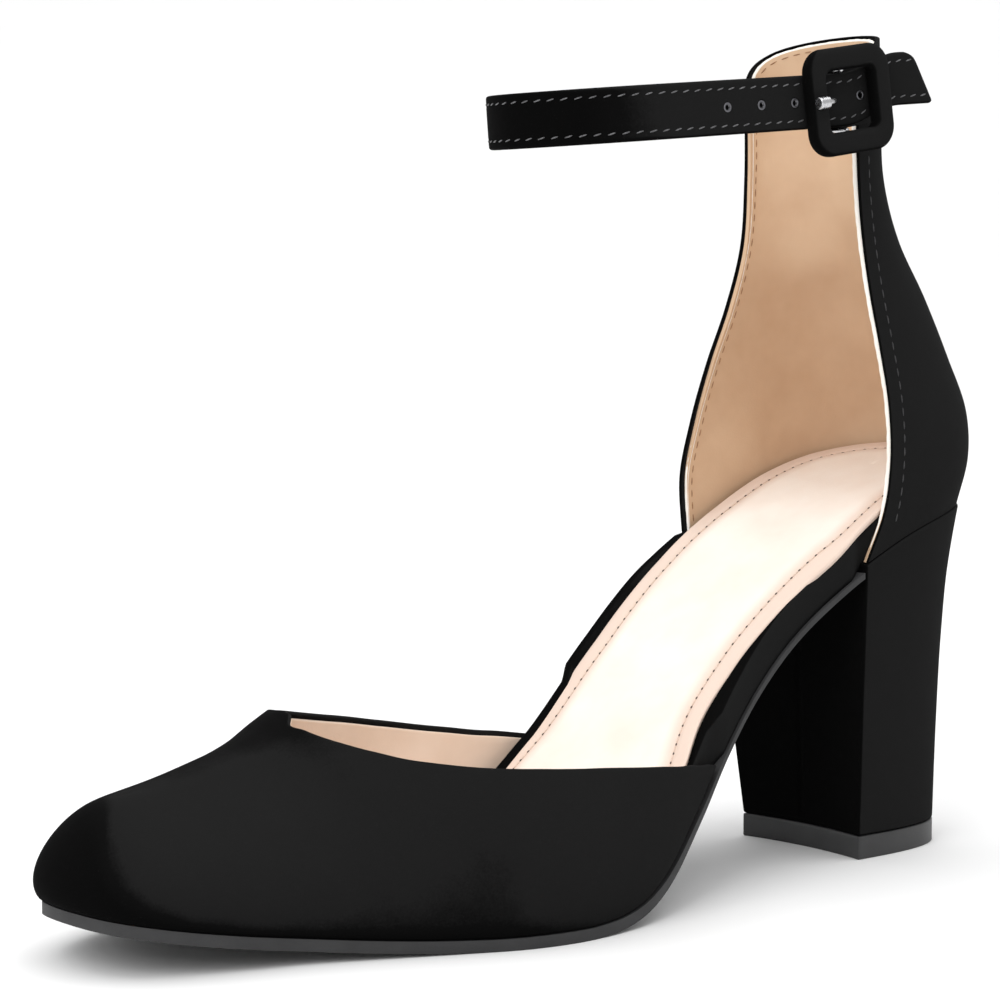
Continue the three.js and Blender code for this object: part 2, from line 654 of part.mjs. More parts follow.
// Eyelet: a sleeve through the strap with a flange on its outer face.
function eyeletGeometry(spot) {
  const sleeve = eyeletBore + eyeletWall;
  const face = strapThickness / 2 + gap / 3;
  const rim = 0.35;
  const profile = [
    [eyeletBore, -strapThickness / 2], [sleeve, -strapThickness / 2], [sleeve, face],
    [eyeletFlange, face], [eyeletFlange - 0.1, face + rim * 0.7], [sleeve, face + rim],
    [eyeletBore, face + rim * 0.5], [eyeletBore, -strapThickness / 2],
  ].map(([r, h]) => new THREE.Vector2(r, h));
  const ring = new THREE.LatheGeometry(profile, 12);
  return ring.rotateX(Math.PI).applyMatrix4(onStrap(spot));
}

// The covered frame: a rounded square ring with soft edges, outside the strap.
function roundedRectangle(width, height, radius) {
  const path = new THREE.Path();
  const [w, h] = [width / 2 - radius, height / 2 - radius];
  path.absarc(w, h, radius, 0, Math.PI / 2);
  path.absarc(-w, h, radius, Math.PI / 2, Math.PI);
  path.absarc(-w, -h, radius, Math.PI, Math.PI * 1.5);
  path.absarc(w, -h, radius, Math.PI * 1.5, Math.PI * 2);
  path.closePath();
  return path;
}
const frameBack = -(strapThickness / 2 + gap); // Y of the frame's face that lies on the strap
const frameSoftness = 1.1;
function frameGeometry() {
  const soft = frameSoftness;
  const outline = roundedRectangle(frameLength - 2 * soft, frameHeight - 2 * soft, 4);
  const shape = new THREE.Shape(outline.getPoints(4));
  const open = roundedRectangle(frameLength - 2 * frameRim + 2 * soft, frameHeight - 2 * frameRim + 2 * soft, 2.2);
  shape.holes.push(new THREE.Path(open.getPoints(3)));
  const ring = new THREE.ExtrudeGeometry(shape, {
    depth: frameThickness - 2 * soft, bevelEnabled: true, bevelThickness: soft, bevelSize: soft, bevelSegments: 2,
  });
  ring.translate(0, 0, soft).rotateX(Math.PI / 2).translate(0, frameBack, 0);
  return ring.applyMatrix4(atBuckle);
}

// The bar: a wire across the back of the frame, bent away from it so that strap and tab pass.
const barDepth = strapThickness / 2 + gap + tabThickness + gap + barRadius;
const legAt = strapWidth / 2 + gap + barRadius + 0.2;
function roundSection(radius, sides) {
  return new THREE.Shape(range(sides, (i) => {
    const angle = 2 * Math.PI * (i + 0.5) / sides;
    return new THREE.Vector2(radius * Math.cos(angle), radius * Math.sin(angle));
  }));
}
function rod(points, radius, steps, sides) {
  const path = new THREE.CatmullRomCurve3(points.map(([x, y, z]) => vector(x, y, z)), false, "centripetal");
  return new THREE.ExtrudeGeometry(roundSection(radius, sides), { steps, extrudePath: path, bevelEnabled: false });
}
function barGeometry() {
  const end = frameBack + gap;
  const points = [
    [0, end, legAt], [0, lerp(end, barDepth, 0.55), legAt], [0, barDepth - 0.35, legAt - 0.35],
    [0, barDepth, legAt - 1.3], [0, barDepth, 0], [0, barDepth, -legAt + 1.3],
    [0, barDepth - 0.35, -legAt + 0.35], [0, lerp(end, barDepth, 0.55), -legAt], [0, end, -legAt],
  ];
  return rod(points, barRadius, 22, 8).applyMatrix4(atBuckle);
}

// The prong: hooked on the bar, up through the strap, with its broad tip on the front rim.
function prongGeometry() {
  const hook = barRadius + gap + prongRadius;
  const rest = frameBack - frameThickness - gap - prongTipRadius;
  const points = [
    [hook * 0.5, barDepth + hook * 0.87, 0], [-hook * 0.55, barDepth + hook * 0.84, 0], [-hook, barDepth, 0],
    [-hook - 0.5, barDepth - 1.4, 0], [prongHoleAt + 0.2, 1.3, 0], [prongHoleAt, 0, 0],
    [prongHoleAt, -1.6, 0], [prongHoleAt - 0.3, -3.8, 0], [prongHoleAt - 1.5, rest + 0.2, 0],
    [prongHoleAt - 2.6, rest, 0],
  ];
  const stem = solidOf(rod(points, prongRadius, 26, 8));
  const tip = new THREE.CapsuleGeometry(prongTipRadius, 2.2, 2, 10).rotateZ(Math.PI / 2);
  tip.translate(prongHoleAt - 3.2, rest, 0);
  return geometryOf(stem.add(solidOf(tip))).translate(0, 0, prongRaise).applyMatrix4(atBuckle);
}

// The buckle tab: sewn on the quarter's outer side and folded round the bar, slotted for the prong.
function tabGeometry() {
  const hole = barRadius + gap;
  const ring = hole + tabThickness;
  const local = atBuckle.clone().invert();
  const turns = [-0.99, -0.9, -0.81, -0.72, -0.63];
  const inner = turns.map((turn) => quarterSlicePoint(turn, 2.5 * gap).applyMatrix4(local));
  const outer = turns.map((turn) => quarterSlicePoint(turn, 2.5 * gap + 1.6 * tabThickness).applyMatrix4(local));
  const arc = range(9, (i) => {
    const angle = Math.PI * (0.42 + 1.2 * i / 8);
    return vector(ring * Math.cos(angle), barDepth + ring * Math.sin(angle), 0);
  });
  const outline = [...arc, ...outer, ...inner.reverse()];
  const shape = new THREE.Shape(outline.map((point) => new THREE.Vector2(point.x, point.y)));
  const eye = new THREE.Path().absarc(0, barDepth, hole, 0, Math.PI * 2, true);
  shape.holes.push(new THREE.Path(eye.getPoints(6)));
  const body = new THREE.ExtrudeGeometry(shape, { depth: tabWidth, bevelEnabled: false });
  const slot = new THREE.BoxGeometry(2.8 * ring, 3.6 * ring, 2 * (prongRadius + 2 * gap));
  slot.translate(-0.84 * ring, barDepth, prongRaise);
  const cut = solidOf(body.translate(0, 0, -tabWidth / 2)).subtract(solidOf(slot));
  return geometryOf(cut).applyMatrix4(atBuckle);
}

const blackSuede = new THREE.MeshStandardMaterial({ color: 0x0b0b0c, roughness: 0.95, metalness: 0 });
const beigeLining = new THREE.MeshStandardMaterial({ color: 0xeedccb, roughness: 0.6, metalness: 0 });
const greyRubber = new THREE.MeshStandardMaterial({ color: 0x47474a, roughness: 0.6, metalness: 0 });
const silverMetal = new THREE.MeshStandardMaterial({ color: 0xc9c9c9, roughness: 0.25, metalness: 1 });

const shoe = new THREE.Group();
function addPiece(name, geometry, material, parent) {
  const piece = new THREE.Mesh(geometry, material);
  piece.name = name;
  parent.add(piece);
}

addPiece("outsole", outsoleGeometry(), greyRubber, shoe);
addPiece("footbed", footing(footbedFrom, footbedFrom + footbedThickness, footbedInset, false), blackSuede, shoe);
addPiece("insole_sock", footing(sockFrom, sockFrom + sockThickness, liningInset, true), beigeLining, shoe);
const vampOutside = vampSkin();
addPiece("vamp", stack([insideOf(vampOutside, vampWall), vampOutside]), blackSuede, shoe);
const quarterOutside = quarterSkin();
addPiece("quarter", stack([insideOf(quarterOutside, quarterWall), quarterOutside]), blackSuede, shoe);
addPiece("heel", heelGeometry(), blackSuede, shoe);
addPiece("top_piece", topPieceGeometry(), greyRubber, shoe);

const strapPlane = new THREE.Group();
strapPlane.position.set(buckleX, 0, strapCentreHeight);
strapPlane.rotation.y = -strapAngle;
shoe.add(strapPlane);
addPiece("ankle_strap", strapGeometry(), blackSuede, strapPlane);
holeSpots.forEach((spot, i) => {
  addPiece(`eyelet_${i + 1}`, eyeletGeometry(spot), silverMetal, strapPlane);
});
addPiece("buckle_frame", frameGeometry(), blackSuede, strapPlane);
addPiece("buckle_bar", barGeometry(), silverMetal, strapPlane);
addPiece("buckle_prong", prongGeometry(), silverMetal, strapPlane);
addPiece("buckle_tab", tabGeometry(), blackSuede, strapPlane);

// The origin is on the floor under the middle of the whole shoe.
const model = new THREE.Group();
model.add(shoe);
model.updateMatrixWorld(true);
const middle = new THREE.Box3().setFromObject(shoe, true).getCenter(new THREE.Vector3());
shoe.position.set(-middle.x, -middle.y, 0);

export default model;
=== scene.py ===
"""An ankle strap pump for the left foot: black suede over a block heel, lined in beige.

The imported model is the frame. The pieces here are finer meshes of the same forms, in the same
places: they read the same tables of shares, in millimetres along the shoe (x from the toe tip,
y negative on the outer side), and are shifted over the frame at the end.
"""
import math

import bmesh
import bpy
import numpy as np
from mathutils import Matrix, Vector


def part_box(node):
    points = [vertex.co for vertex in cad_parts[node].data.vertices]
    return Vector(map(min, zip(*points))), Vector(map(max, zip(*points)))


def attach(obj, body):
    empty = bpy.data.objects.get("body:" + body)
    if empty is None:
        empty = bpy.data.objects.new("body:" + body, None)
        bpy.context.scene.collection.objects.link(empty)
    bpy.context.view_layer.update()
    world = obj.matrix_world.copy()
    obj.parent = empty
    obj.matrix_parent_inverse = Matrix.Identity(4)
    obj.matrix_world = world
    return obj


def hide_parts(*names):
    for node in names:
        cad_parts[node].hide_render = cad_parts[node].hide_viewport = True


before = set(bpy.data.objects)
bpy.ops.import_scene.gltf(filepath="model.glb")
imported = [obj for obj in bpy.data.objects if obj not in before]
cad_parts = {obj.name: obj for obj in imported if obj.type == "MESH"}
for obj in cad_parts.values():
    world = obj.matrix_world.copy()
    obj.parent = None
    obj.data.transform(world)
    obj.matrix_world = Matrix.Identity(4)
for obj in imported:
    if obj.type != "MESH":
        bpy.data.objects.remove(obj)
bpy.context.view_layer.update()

MM = 0.001

# Driving sizes of the shoe.
LENGTH = 235.0
BALL_WIDTH = 80.0
HEEL_HEIGHT = 78.5
TOE_SPRING = 9.3
CROWN_HEIGHT = 44.3
QUARTER_HEIGHT = 107.5
OUTSOLE_THICKNESS = 2.2
FOOTBED_THICKNESS = 5.6
SOCK_THICKNESS = 1.2
SEAT_PAD = 3.6
SEAT_DISH = 1.6
SEAT_CUP = 2.6
ARCH_PAD = 2.6
VAMP_WALL = 1.8
QUARTER_WALL = 2.0
FEATHER_INSET = 0.4
SOCK_INSET = 3.2
TOP_PIECE_HEIGHT = 5.4
HEEL_BASE_WIDTH = 38.0
HEEL_BASE_DEPTH = 35.5
STRAP_WIDTH = 11.6
STRAP_THICKNESS = 1.8
STRAP_SLOPE = 0.085
FRAME_LENGTH = 23.2
FRAME_HEIGHT = 23.2
FRAME_THICKNESS = 3.4
FRAME_RIM = 5.0
BAR_RADIUS = 1.0
OPENING_HEIGHT = FRAME_HEIGHT - 2 * FRAME_RIM
TAB_THICKNESS = 1.2
PRONG_RADIUS = 0.55
PRONG_TIP_RADIUS = 1.15
HOLE_PITCH = 9.3
HOLE_COUNT = 5
GAP = 0.3

# Where the pieces start and end, as shares of the length.
TREAD_FROM = 0.325
TREAD_TO = 0.4106
THROAT_AT = 0.232
VAMP_END = 0.608
BREAST_AT = 0.8106
FRONT = {"outer": 0.815, "inner": 0.785}
SEAT_FROM = 0.8702
SEAT_ROUNDNESS = 2.25


def table(columns, *rows):
    """A table with one named column for each word."""
    return dict(zip(columns.split(), np.array(rows, float).T))


# The sole's edge in plan: shares of the length, and of the width at the ball.
SOLE_EDGE = table(
    "at outer inner",
    (0, 0.062, 0.062),
    (0.0064, -0.072, 0.179),
    (0.015, -0.116, 0.223),
    (0.045, -0.182, 0.305),
    (0.105, -0.242, 0.38),
    (0.17, -0.288, 0.436),
    (0.23, -0.355, 0.473),
    (0.29, -0.427, 0.492),
    (0.345, -0.489, 0.495),
    (0.39, -0.51, 0.479),
    (0.435, -0.503, 0.445),
    (0.48, -0.482, 0.409),
    (0.525, -0.44, 0.382),
    (0.575, -0.38, 0.368),
    (0.63, -0.312, 0.372),
    (0.685, -0.267, 0.381),
    (0.74, -0.26, 0.378),
    (0.795, -0.292, 0.358),
    (0.835, -0.315, 0.343),
    (SEAT_FROM, -0.322, 0.335),
)
SOLE_EDGE["root"] = np.sqrt(SOLE_EDGE["at"])

# The rise of the sole behind the tread: shares of the length and of the heel height.
ARCH_RISE = table(
    "at rise",
    (TREAD_TO, 0),
    (0.445, 0.009),
    (0.47, 0.027),
    (0.505, 0.073),
    (0.568, 0.217),
    (0.653, 0.445),
    (0.738, 0.669),
    (0.81, 0.83),
    (0.87, 0.922),
    (0.93, 0.973),
    (1, 1),
)

# The crown over the vamp: shares of the length, of the crown height and of the ball width.
VAMP_CROWN = table(
    "at height centre square",
    (0.059, 0.72, 0.08, 2.1),
    (0.087, 0.738, 0.085, 2.1),
    (0.12, 0.772, 0.085, 2.1),
    (0.153, 0.818, 0.083, 2.1),
    (0.185, 0.871, 0.08, 2.1),
    (0.206, 0.92, 0.079, 2.1),
    (THROAT_AT, 1, 0.077, 2.15),
    (0.28, 1.12, 0.065, 2.3),
    (0.36, 1.277, 0.04, 2.5),
    (0.45, 1.47, 0.012, 2.7),
    (VAMP_END, 1.986, 0.01, 2.8),
)

# The vamp's top line: how far up the section (1 is the crown), and the share of the length.
VAMP_TOP = table(
    "up outer inner",
    (0, VAMP_END, VAMP_END),
    (0.02, 0.588, 0.586),
    (0.04, 0.5744, 0.572),
    (0.1, 0.54, 0.537),
    (0.18, 0.496, 0.494),
    (0.26, 0.442, 0.446),
    (0.34, 0.375, 0.395),
    (0.42, 0.316, 0.35),
    (0.5, 0.278, 0.313),
    (0.6, 0.251, 0.279),
    (0.72, 0.232, 0.253),
    (0.86, 0.223, 0.238),
    (0.96, 0.2234, 0.234),
    (1, THROAT_AT, THROAT_AT),
)

# The lining's margin on the footbed, as shares of its inset.
LINING_MARGIN = table(
    "at outer inner",
    (0, 1, 1),
    (0.5, 1.06, 1.2),
    (0.575, 1.35, 1.42),
    (0.62, 1.7, 1.44),
    (0.664, 1.25, 1.42),
    (0.71, 0.5, 1.36),
    (0.766, 0.2, 1.2),
    (0.795, 0.25, 1.12),
    (0.82, 0.7, 1.08),
    (0.845, 1, 1.04),
    (0.9, 1, 1),
    (1, 1, 1),
)

# The quarter by height over the seat: moves of its edges along the shoe, its width, and how
# far its plan has turned from the seat's outline (0) to an oval (1).
QUARTER_SHAPE = table(
    "up outer inner back width oval",
    (0, 0, 0, 0, 1, 0),
    (0.1, 0.019, -0.003, 0.012, 1.035, 0.02),
    (0.2, 0.028, -0.006, 0.009, 1.03, 0.12),
    (0.32, 0.032, 0.001, -0.014, 0.97, 0.4),
    (0.45, 0.027, 0.014, -0.042, 0.89, 0.7),
    (0.57, 0.018, 0.033, -0.078, 0.835, 0.9),
    (0.7, 0.01, 0.049, -0.1, 0.8, 1),
    (0.85, 0.005, 0.053, -0.103, 0.785, 1),
    (1, 0.004, 0.053, -0.107, 0.785, 1),
)
QUARTER_CORNER_DROP = 11.2

# The heel block by height: shares of the way from the base outline to the seat outline.
HEEL_FLARE = table(
    "up seat breast",
    (0, 0, 0),
    (0.3, 0.1, 0.28),
    (0.6, 0.28, 0.58),
    (0.8, 0.52, 0.79),
    (0.9, 0.74, 0.9),
    (1, 1, 1),
)
BREAST_HOLLOW = 2.0
BREAST_SEAM = {"depth": 0.4, "width": 0.012, "low": 0.535, "high": 0.46}
HEEL_BASE_FROM = 0.8277

# The strap's loop in plan, from its front back: shares of the length and of its half width.
LOOP_HALF_WIDTH = 24.4
LOOP_FRONT = 0.4574
BUCKLE_AT = 0.7553
STRAP_TAIL = 26.7
TAIL_SLANT = 0.49
STRAP_DRIFT = 0.083
STRAP_DROP = 17.3
LOOP_TURN = table(
    "across at",
    (0, 0),
    (0.42, 0.013),
    (0.72, 0.041),
    (0.92, 0.083),
    (1, 0.136),
)


def read(rows, key, column, at):
    """A column of a table at a key, on a smooth curve through the rows."""
    x, y = rows[key], rows[column]
    width = np.diff(x)
    slope = np.diff(y) / width
    middle = (slope[:-1] * width[1:] + slope[1:] * width[:-1]) / (width[:-1] + width[1:])
    tangent = np.concatenate((slope[:1], middle, slope[-1:]))
    row = np.clip(np.searchsorted(x, at, side="left") - 1, 0, len(x) - 2)
    t = np.clip((at - x[row]) / width[row], 0, 1)
    rise = y[row + 1] - y[row]
    a = tangent[row] * width[row] - rise
    b = rise - tangent[row + 1] * width[row]
    return y[row] + rise * t + t * (1 - t) * (a * (1 - t) + b * t)


def lerp(a, b, t):
    return a + (b - a) * t


def smoothstep(x, low, high):
    t = np.clip((x - low) / (high - low), 0, 1)
    return t * t * (3 - 2 * t)


def stack3(x, y, z):
    """Points from their coordinates, spread to one shape."""
    return np.stack(np.broadcast_arrays(x, y, z), -1).astype(float)


def unit(vectors):
    """Vectors brought to a length of one."""
    return vectors / np.maximum(np.linalg.norm(vectors, axis=-1, keepdims=True), 1e-9)


def run_along(points):
    """How far along a line of points each of them lies."""
    return np.concatenate(([0], np.cumsum(np.linalg.norm(np.diff(points, axis=0), axis=1))))


def at_run(at, run, points):
    """Points on a line, at distances along it."""
    return np.stack([np.interp(at, run, points[:, k]) for k in range(3)], -1)


def sole_bottom(x):
    """The underside of the sole: toe spring, flat tread, arch and seat."""
    share = np.asarray(x, float) / LENGTH
    toe = TOE_SPRING * (1 - np.clip(share, 0, TREAD_FROM) / TREAD_FROM) ** 1.7
    arch = HEEL_HEIGHT * np.maximum(0, read(ARCH_RISE, "at", "rise", np.clip(share, TREAD_TO, 1)))
    return np.where(share < TREAD_FROM, toe, np.where(share < TREAD_TO, 0, arch))


def level(x, thickness):
    """A surface over the underside, with the thickness measured square to it."""
    slope = sole_bottom(x + 0.5) - sole_bottom(x - 0.5)
    return sole_bottom(x) + thickness * np.hypot(1, slope)


def edge_at(side, share):
    """How far across the sole's edge lies on one side, at shares of the length."""
    from_toe = np.clip(share, 0, SEAT_FROM)
    width = BALL_WIDTH * read(SOLE_EDGE, "root", side, np.sqrt(from_toe))
    closing = np.clip((share - SEAT_FROM) / (1 - SEAT_FROM), 0, 1)
    return width * (1 - closing**SEAT_ROUNDNESS) ** (1 / SEAT_ROUNDNESS)


def share_of(station):
    """Shares of the length at stations, which are even steps that crowd at both ends."""
    return (1 - np.cos(np.pi * np.clip(station, 0, 1))) / 2


def station_of(share):
    return np.arccos(1 - 2 * np.clip(share, 0, 1)) / np.pi


def edge_point(side, station, inset):
    """Points of the sole's edge in plan, moved inwards square to it."""
    station = np.asarray(station, float)

    def spot(s):
        share = share_of(s)
        return np.stack((LENGTH * share, edge_at(side, share)), -1)

    turn = 1 if side == "outer" else -1
    small = 0.002
    along = spot(station + small) - spot(station - small)
    along[station < small] = (0, -turn)
    along[station > 1 - small] = (0, turn)
    along = unit(along)
    inwards = np.stack((-along[..., 1], along[..., 0]), -1) * turn
    return spot(station) + inwards * np.asarray(inset, float)[..., None]


def footbed_inset(side, share):
    """How far the footbed stands inside the sole's edge: more where an upper stands outside it."""
    step, clear, spare = 0.012, 0.004, 0.2
    bare = FEATHER_INSET + spare
    in_vamp = bare + VAMP_WALL + GAP
    in_quarter = bare + QUARTER_WALL + GAP
    leave_vamp = np.clip((share - VAMP_END - clear) / step, 0, 1)
    enter_quarter = np.clip((share - FRONT[side] + step + clear) / step, 0, 1)
    return lerp(in_vamp, bare, leave_vamp) + (in_quarter - bare) * enter_quarter


def lining_inset(side, share):
    """How far the insole lining stands inside the sole's edge."""
    return SOCK_INSET * read(LINING_MARGIN, "at", side, share)


def pad_lift(share, cross):
    """The padding over the footbed: a dished seat that climbs at the back, and a raised inner edge."""
    dish = SEAT_DISH * (1 - smoothstep(share, 0.94, 1)) * (1 - (2 * cross - 1) ** 2)
    pad = smoothstep(share, FRONT["inner"], 0.93) * (SEAT_PAD - dish)
    seat = pad + smoothstep(share, 0.88, 1) * SEAT_CUP
    arch = smoothstep(share, 0.52, 0.66) * (1 - smoothstep(share, 0.8, 0.95)) * ARCH_PAD
    return seat + arch * cross**3


FOOTBED_FROM = OUTSOLE_THICKNESS + GAP
SOCK_FROM = FOOTBED_FROM + FOOTBED_THICKNESS + GAP

# The vamp's section: how far the crown line runs ahead at the toe, and how its sides swell.
TOE_FAN = 0.059
SIDE_BULGE = 2.2
TOE_BULGE = 2.8
TOE_BULGE_TO = 0.12
BULGE_FADE = 0.08


def vamp_point(side, share, angle):
    """Points on the outside of the vamp, by share along the feather line and angle up the section."""
    foot = edge_point(side, station_of(share), np.full(np.shape(share), FEATHER_INSET))
    crown_share = share + TOE_FAN * np.maximum(0, 1 - share / THROAT_AT) ** 2
    centre = BALL_WIDTH * read(VAMP_CROWN, "at", "centre", crown_share)
    square = read(VAMP_CROWN, "at", "square", crown_share)
    crown_x = LENGTH * crown_share
    crown_z = CROWN_HEIGHT * read(VAMP_CROWN, "at", "height", crown_share)
    bottom = level(foot[..., 0], OUTSOLE_THICKNESS + GAP)
    over = np.maximum(np.cos(angle), 0) ** (2 / square)
    up = np.sin(angle) ** (2 / square)
    outwards = unit(foot - np.stack((crown_x, centre), -1))
    near_toe = np.maximum(0, 1 - share / TOE_BULGE_TO)
    bulge = lerp(SIDE_BULGE, TOE_BULGE, near_toe**2) * np.sin(np.pi * up**0.6) * (1 - up) ** 0.3
    bulge = bulge * np.clip((VAMP_END - share) / BULGE_FADE, 0, 1)
    return stack3(
        lerp(crown_x, foot[..., 0], over) + outwards[..., 0] * bulge,
        lerp(centre, foot[..., 1], over) + outwards[..., 1] * bulge,
        lerp(bottom, crown_z, up),
    )


def inwards(sample, reach, width, line):
    """For each column, how far in from the edge its distance from the edge line reaches a width."""
    steps = np.linspace(0, reach, 90)
    apart = np.array([
        np.sqrt(((sample(step)[:, None] - line[None]) ** 2).sum(-1).min(1)) for step in steps])
    always_rising = 1e-6
    apart = np.maximum.accumulate(apart, axis=0) + steps[:, None] * always_rising
    return np.array([np.interp(width[j], apart[:, j], steps) for j in range(apart.shape[1])])


def vamp_grid(rows, half, margins=None):
    """The vamp's skin: rows from the toe to the top line, columns from side to side.
    Margins are how far the skin stops short of the top line: outer side, inner side and crown."""
    reach = 26.0
    climb = np.linspace(0, 1, half)
    fine = np.linspace(0, 1, 500)
    t = np.linspace(0, 1, rows)[:, None]
    spread = t * lerp(t, 1, 0.35 * t)
    sides = []
    for side in ("outer", "inner"):
        end = read(VAMP_TOP, "up", side, climb)
        if margins:
            line = vamp_point(side, read(VAMP_TOP, "up", side, fine), fine * np.pi / 2)
            width = lerp(margins[side], margins["crown"], smoothstep(climb, 0.8, 1))
            end = end - inwards(
                lambda step: vamp_point(side, end - step / LENGTH, climb * np.pi / 2),
                reach, width, line) / LENGTH
        share = end[None, :] * spread
        angle = np.broadcast_to(climb * np.pi / 2, share.shape)
        sides.append(vamp_point(side, share, angle))
    return np.concatenate((sides[0], sides[1][:, -2::-1]), 1)


def quarter_point(turn, height):
    """Points on the outside of the quarter: turn from -1 (outer front) over 0 (back) to 1."""
    turn, height = np.broadcast_arrays(np.asarray(turn, float), np.asarray(height, float))
    parts = {}
    for side in ("outer", "inner"):
        start = FRONT[side]
        share = lerp(start, 1, 1 - np.abs(turn) ** 1.9)
        foot = edge_point(side, station_of(share), np.full(share.shape, FEATHER_INSET))
        forward = (LENGTH - foot[..., 0]) / (LENGTH * (1 - start))
        up = height / QUARTER_HEIGHT
        front = LENGTH * read(QUARTER_SHAPE, "up", side, up)
        back = LENGTH * read(QUARTER_SHAPE, "up", "back", up)
        width = read(QUARTER_SHAPE, "up", "width", up)
        oval = read(QUARTER_SHAPE, "up", "oval", up)
        bottom = level(foot[..., 0], OUTSOLE_THICKNESS + GAP)
        corner = edge_point(side, station_of(np.array([start])), np.array([FEATHER_INSET]))[0]
        angle = np.abs(turn) * np.pi / 2
        oval_x = lerp(corner[0] + front, LENGTH + back, np.cos(angle))
        oval_y = corner[1] * np.sin(angle)
        parts[side] = stack3(
            lerp(foot[..., 0] + lerp(back, front, np.clip(forward, 0, 1)), oval_x, oval),
            lerp(foot[..., 1], oval_y, oval) * width,
            bottom + height,
        )
    return np.where((turn < 0)[..., None], parts["outer"], parts["inner"])


def quarter_top(turn):
    """The quarter's height over its seat line, lower towards both front corners."""
    from_front = 1 - np.abs(turn)
    seat = quarter_point(turn, np.zeros(np.shape(turn)))[..., 2]
    back = level(np.array(LENGTH), OUTSOLE_THICKNESS + GAP) + QUARTER_HEIGHT
    drop = QUARTER_CORNER_DROP * (1 - np.sqrt(np.maximum(0, 1 - (1 - from_front) ** 2)))
    return back - drop - seat


def quarter_grid(rows, turns, margin=0.0):
    """The quarter's skin: rows from the seat up, columns from the outer front edge to the inner.
    The margin is how far the skin stops short of the top line and of the inner front edge."""
    crowding, near_front, reach = 0.6, 0.25, 14.0
    even = np.linspace(-1, 1, turns)
    turn = lerp(even, np.sin(np.pi / 2 * even), crowding)
    up = np.linspace(0, 1, rows)[:, None]
    if not margin:
        return quarter_point(turn[None, :], quarter_top(turn)[None, :] * up)
    near_edge = 1 - np.linspace(0, near_front, 60)
    last = []
    for share in up[:, 0]:
        run = quarter_point(near_edge, quarter_top(near_edge) * share)
        last.append(np.interp(margin, run_along(run), near_edge))
    line_turn = np.sin(np.pi / 2 * np.linspace(-1, 1, 700))
    line = quarter_point(line_turn, quarter_top(line_turn))
    short = inwards(
        lambda step: quarter_point(turn, quarter_top(turn) - step), reach, np.full(turns, margin), line)
    placed = -1 + (turn[None, :] + 1) * (np.array(last)[:, None] + 1) / 2
    top = quarter_top(placed) - np.interp(placed, turn, short)
    return quarter_point(placed, top * up)


# The shift from the shoe's own place to the frame's.
edge_shares = np.linspace(0, 1, 400)
SHIFT = np.array([
    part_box("outsole")[0][0] / MM,
    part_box("outsole")[0][1] / MM - edge_at("outer", edge_shares).min(),
    0.0,
])


def mesh_piece(name, points, faces):
    """A new piece from points in the shoe's own millimetres."""
    mesh = bpy.data.meshes.new(name)
    mesh.from_pydata(((np.reshape(points, (-1, 3)) + SHIFT) * MM).tolist(), [], faces)
    piece = bpy.data.objects.new(name, mesh)
    bpy.context.collection.objects.link(piece)
    return piece


def grid_faces(rows, columns, closed=False):
    """Four-sided faces over a grid of points; a closed one also joins its last column to its first."""
    faces = []
    for i in range(rows - 1):
        for j in range(columns if closed else columns - 1):
            k = (j + 1) % columns
            faces.append((i * columns + j, i * columns + k, (i + 1) * columns + k, (i + 1) * columns + j))
    return faces


def tidy_mesh(piece, outwards=True):
    """Merges doubled points and, on a closed body, turns the faces out."""
    mesh = bmesh.new()
    mesh.from_mesh(piece.data)
    bmesh.ops.remove_doubles(mesh, verts=mesh.verts, dist=2e-6)
    bmesh.ops.dissolve_degenerate(mesh, edges=mesh.edges, dist=1e-7)
    if outwards:
        bmesh.ops.recalc_face_normals(mesh, faces=mesh.faces)
    mesh.to_mesh(piece.data)
    mesh.free()


def skin_piece(name, grid):
    """A sheet from a grid, with its faces turned away from the middle."""
    rows, columns = grid.shape[:2]
    faces = grid_faces(rows, columns)
    i, j = rows // 2, columns // 3
    normal = np.cross(grid[i + 1, j + 1] - grid[i, j], grid[i + 1, j] - grid[i, j + 1])
    if np.dot(normal, grid[i, j] - grid.reshape(-1, 3).mean(0)) < 0:
        faces = [face[::-1] for face in faces]
    piece = mesh_piece(name, grid, faces)
    tidy_mesh(piece, outwards=False)
    return piece


def apply_modifiers(piece):
    """Turns the piece with its modifiers into a plain mesh."""
    graph = bpy.context.evaluated_depsgraph_get()
    mesh = bpy.data.meshes.new_from_object(piece.evaluated_get(graph), depsgraph=graph)
    piece.modifiers.clear()
    piece.data = mesh


def add_modifier(piece, kind, **settings):
    modifier = piece.modifiers.new(kind.lower(), kind)
    for key, value in settings.items():
        setattr(modifier, key, value)


def soften(piece, width, segments=3, over=50):
    """Rounds the edges where faces meet at more than an angle in degrees."""
    add_modifier(
        piece, "BEVEL", width=width * MM, segments=segments, limit_method="ANGLE",
        angle_limit=math.radians(over))


def dress(piece, material, replaces=()):
    """The last steps for a piece: plain mesh, smooth faces, material and body, and the frame's replaced
    parts hidden.
    """
    if piece.modifiers:
        apply_modifiers(piece)
    mesh = piece.data
    if not mesh.materials:
        mesh.materials.append(material)
    mesh.shade_smooth()
    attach(piece, "root")
    if replaces:
        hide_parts(*replaces)


def linear(code):
    """An sRGB hex colour as linear values."""
    values = [int(code[i:i + 2], 16) / 255 for i in (1, 3, 5)]
    return [v / 12.92 if v <= 0.04045 else ((v + 0.055) / 1.055) ** 2.4 for v in values] + [1.0]


def new_material(name):
    """A material with one principled shader, its node tree and the shader."""
    material = bpy.data.materials.new(name)
    material.use_nodes = True
    tree = material.node_tree
    tree.nodes.clear()
    output = tree.nodes.new("ShaderNodeOutputMaterial")
    shader = tree.nodes.new("ShaderNodeBsdfPrincipled")
    tree.links.new(shader.outputs[0], output.inputs[0])
    return material, tree, shader


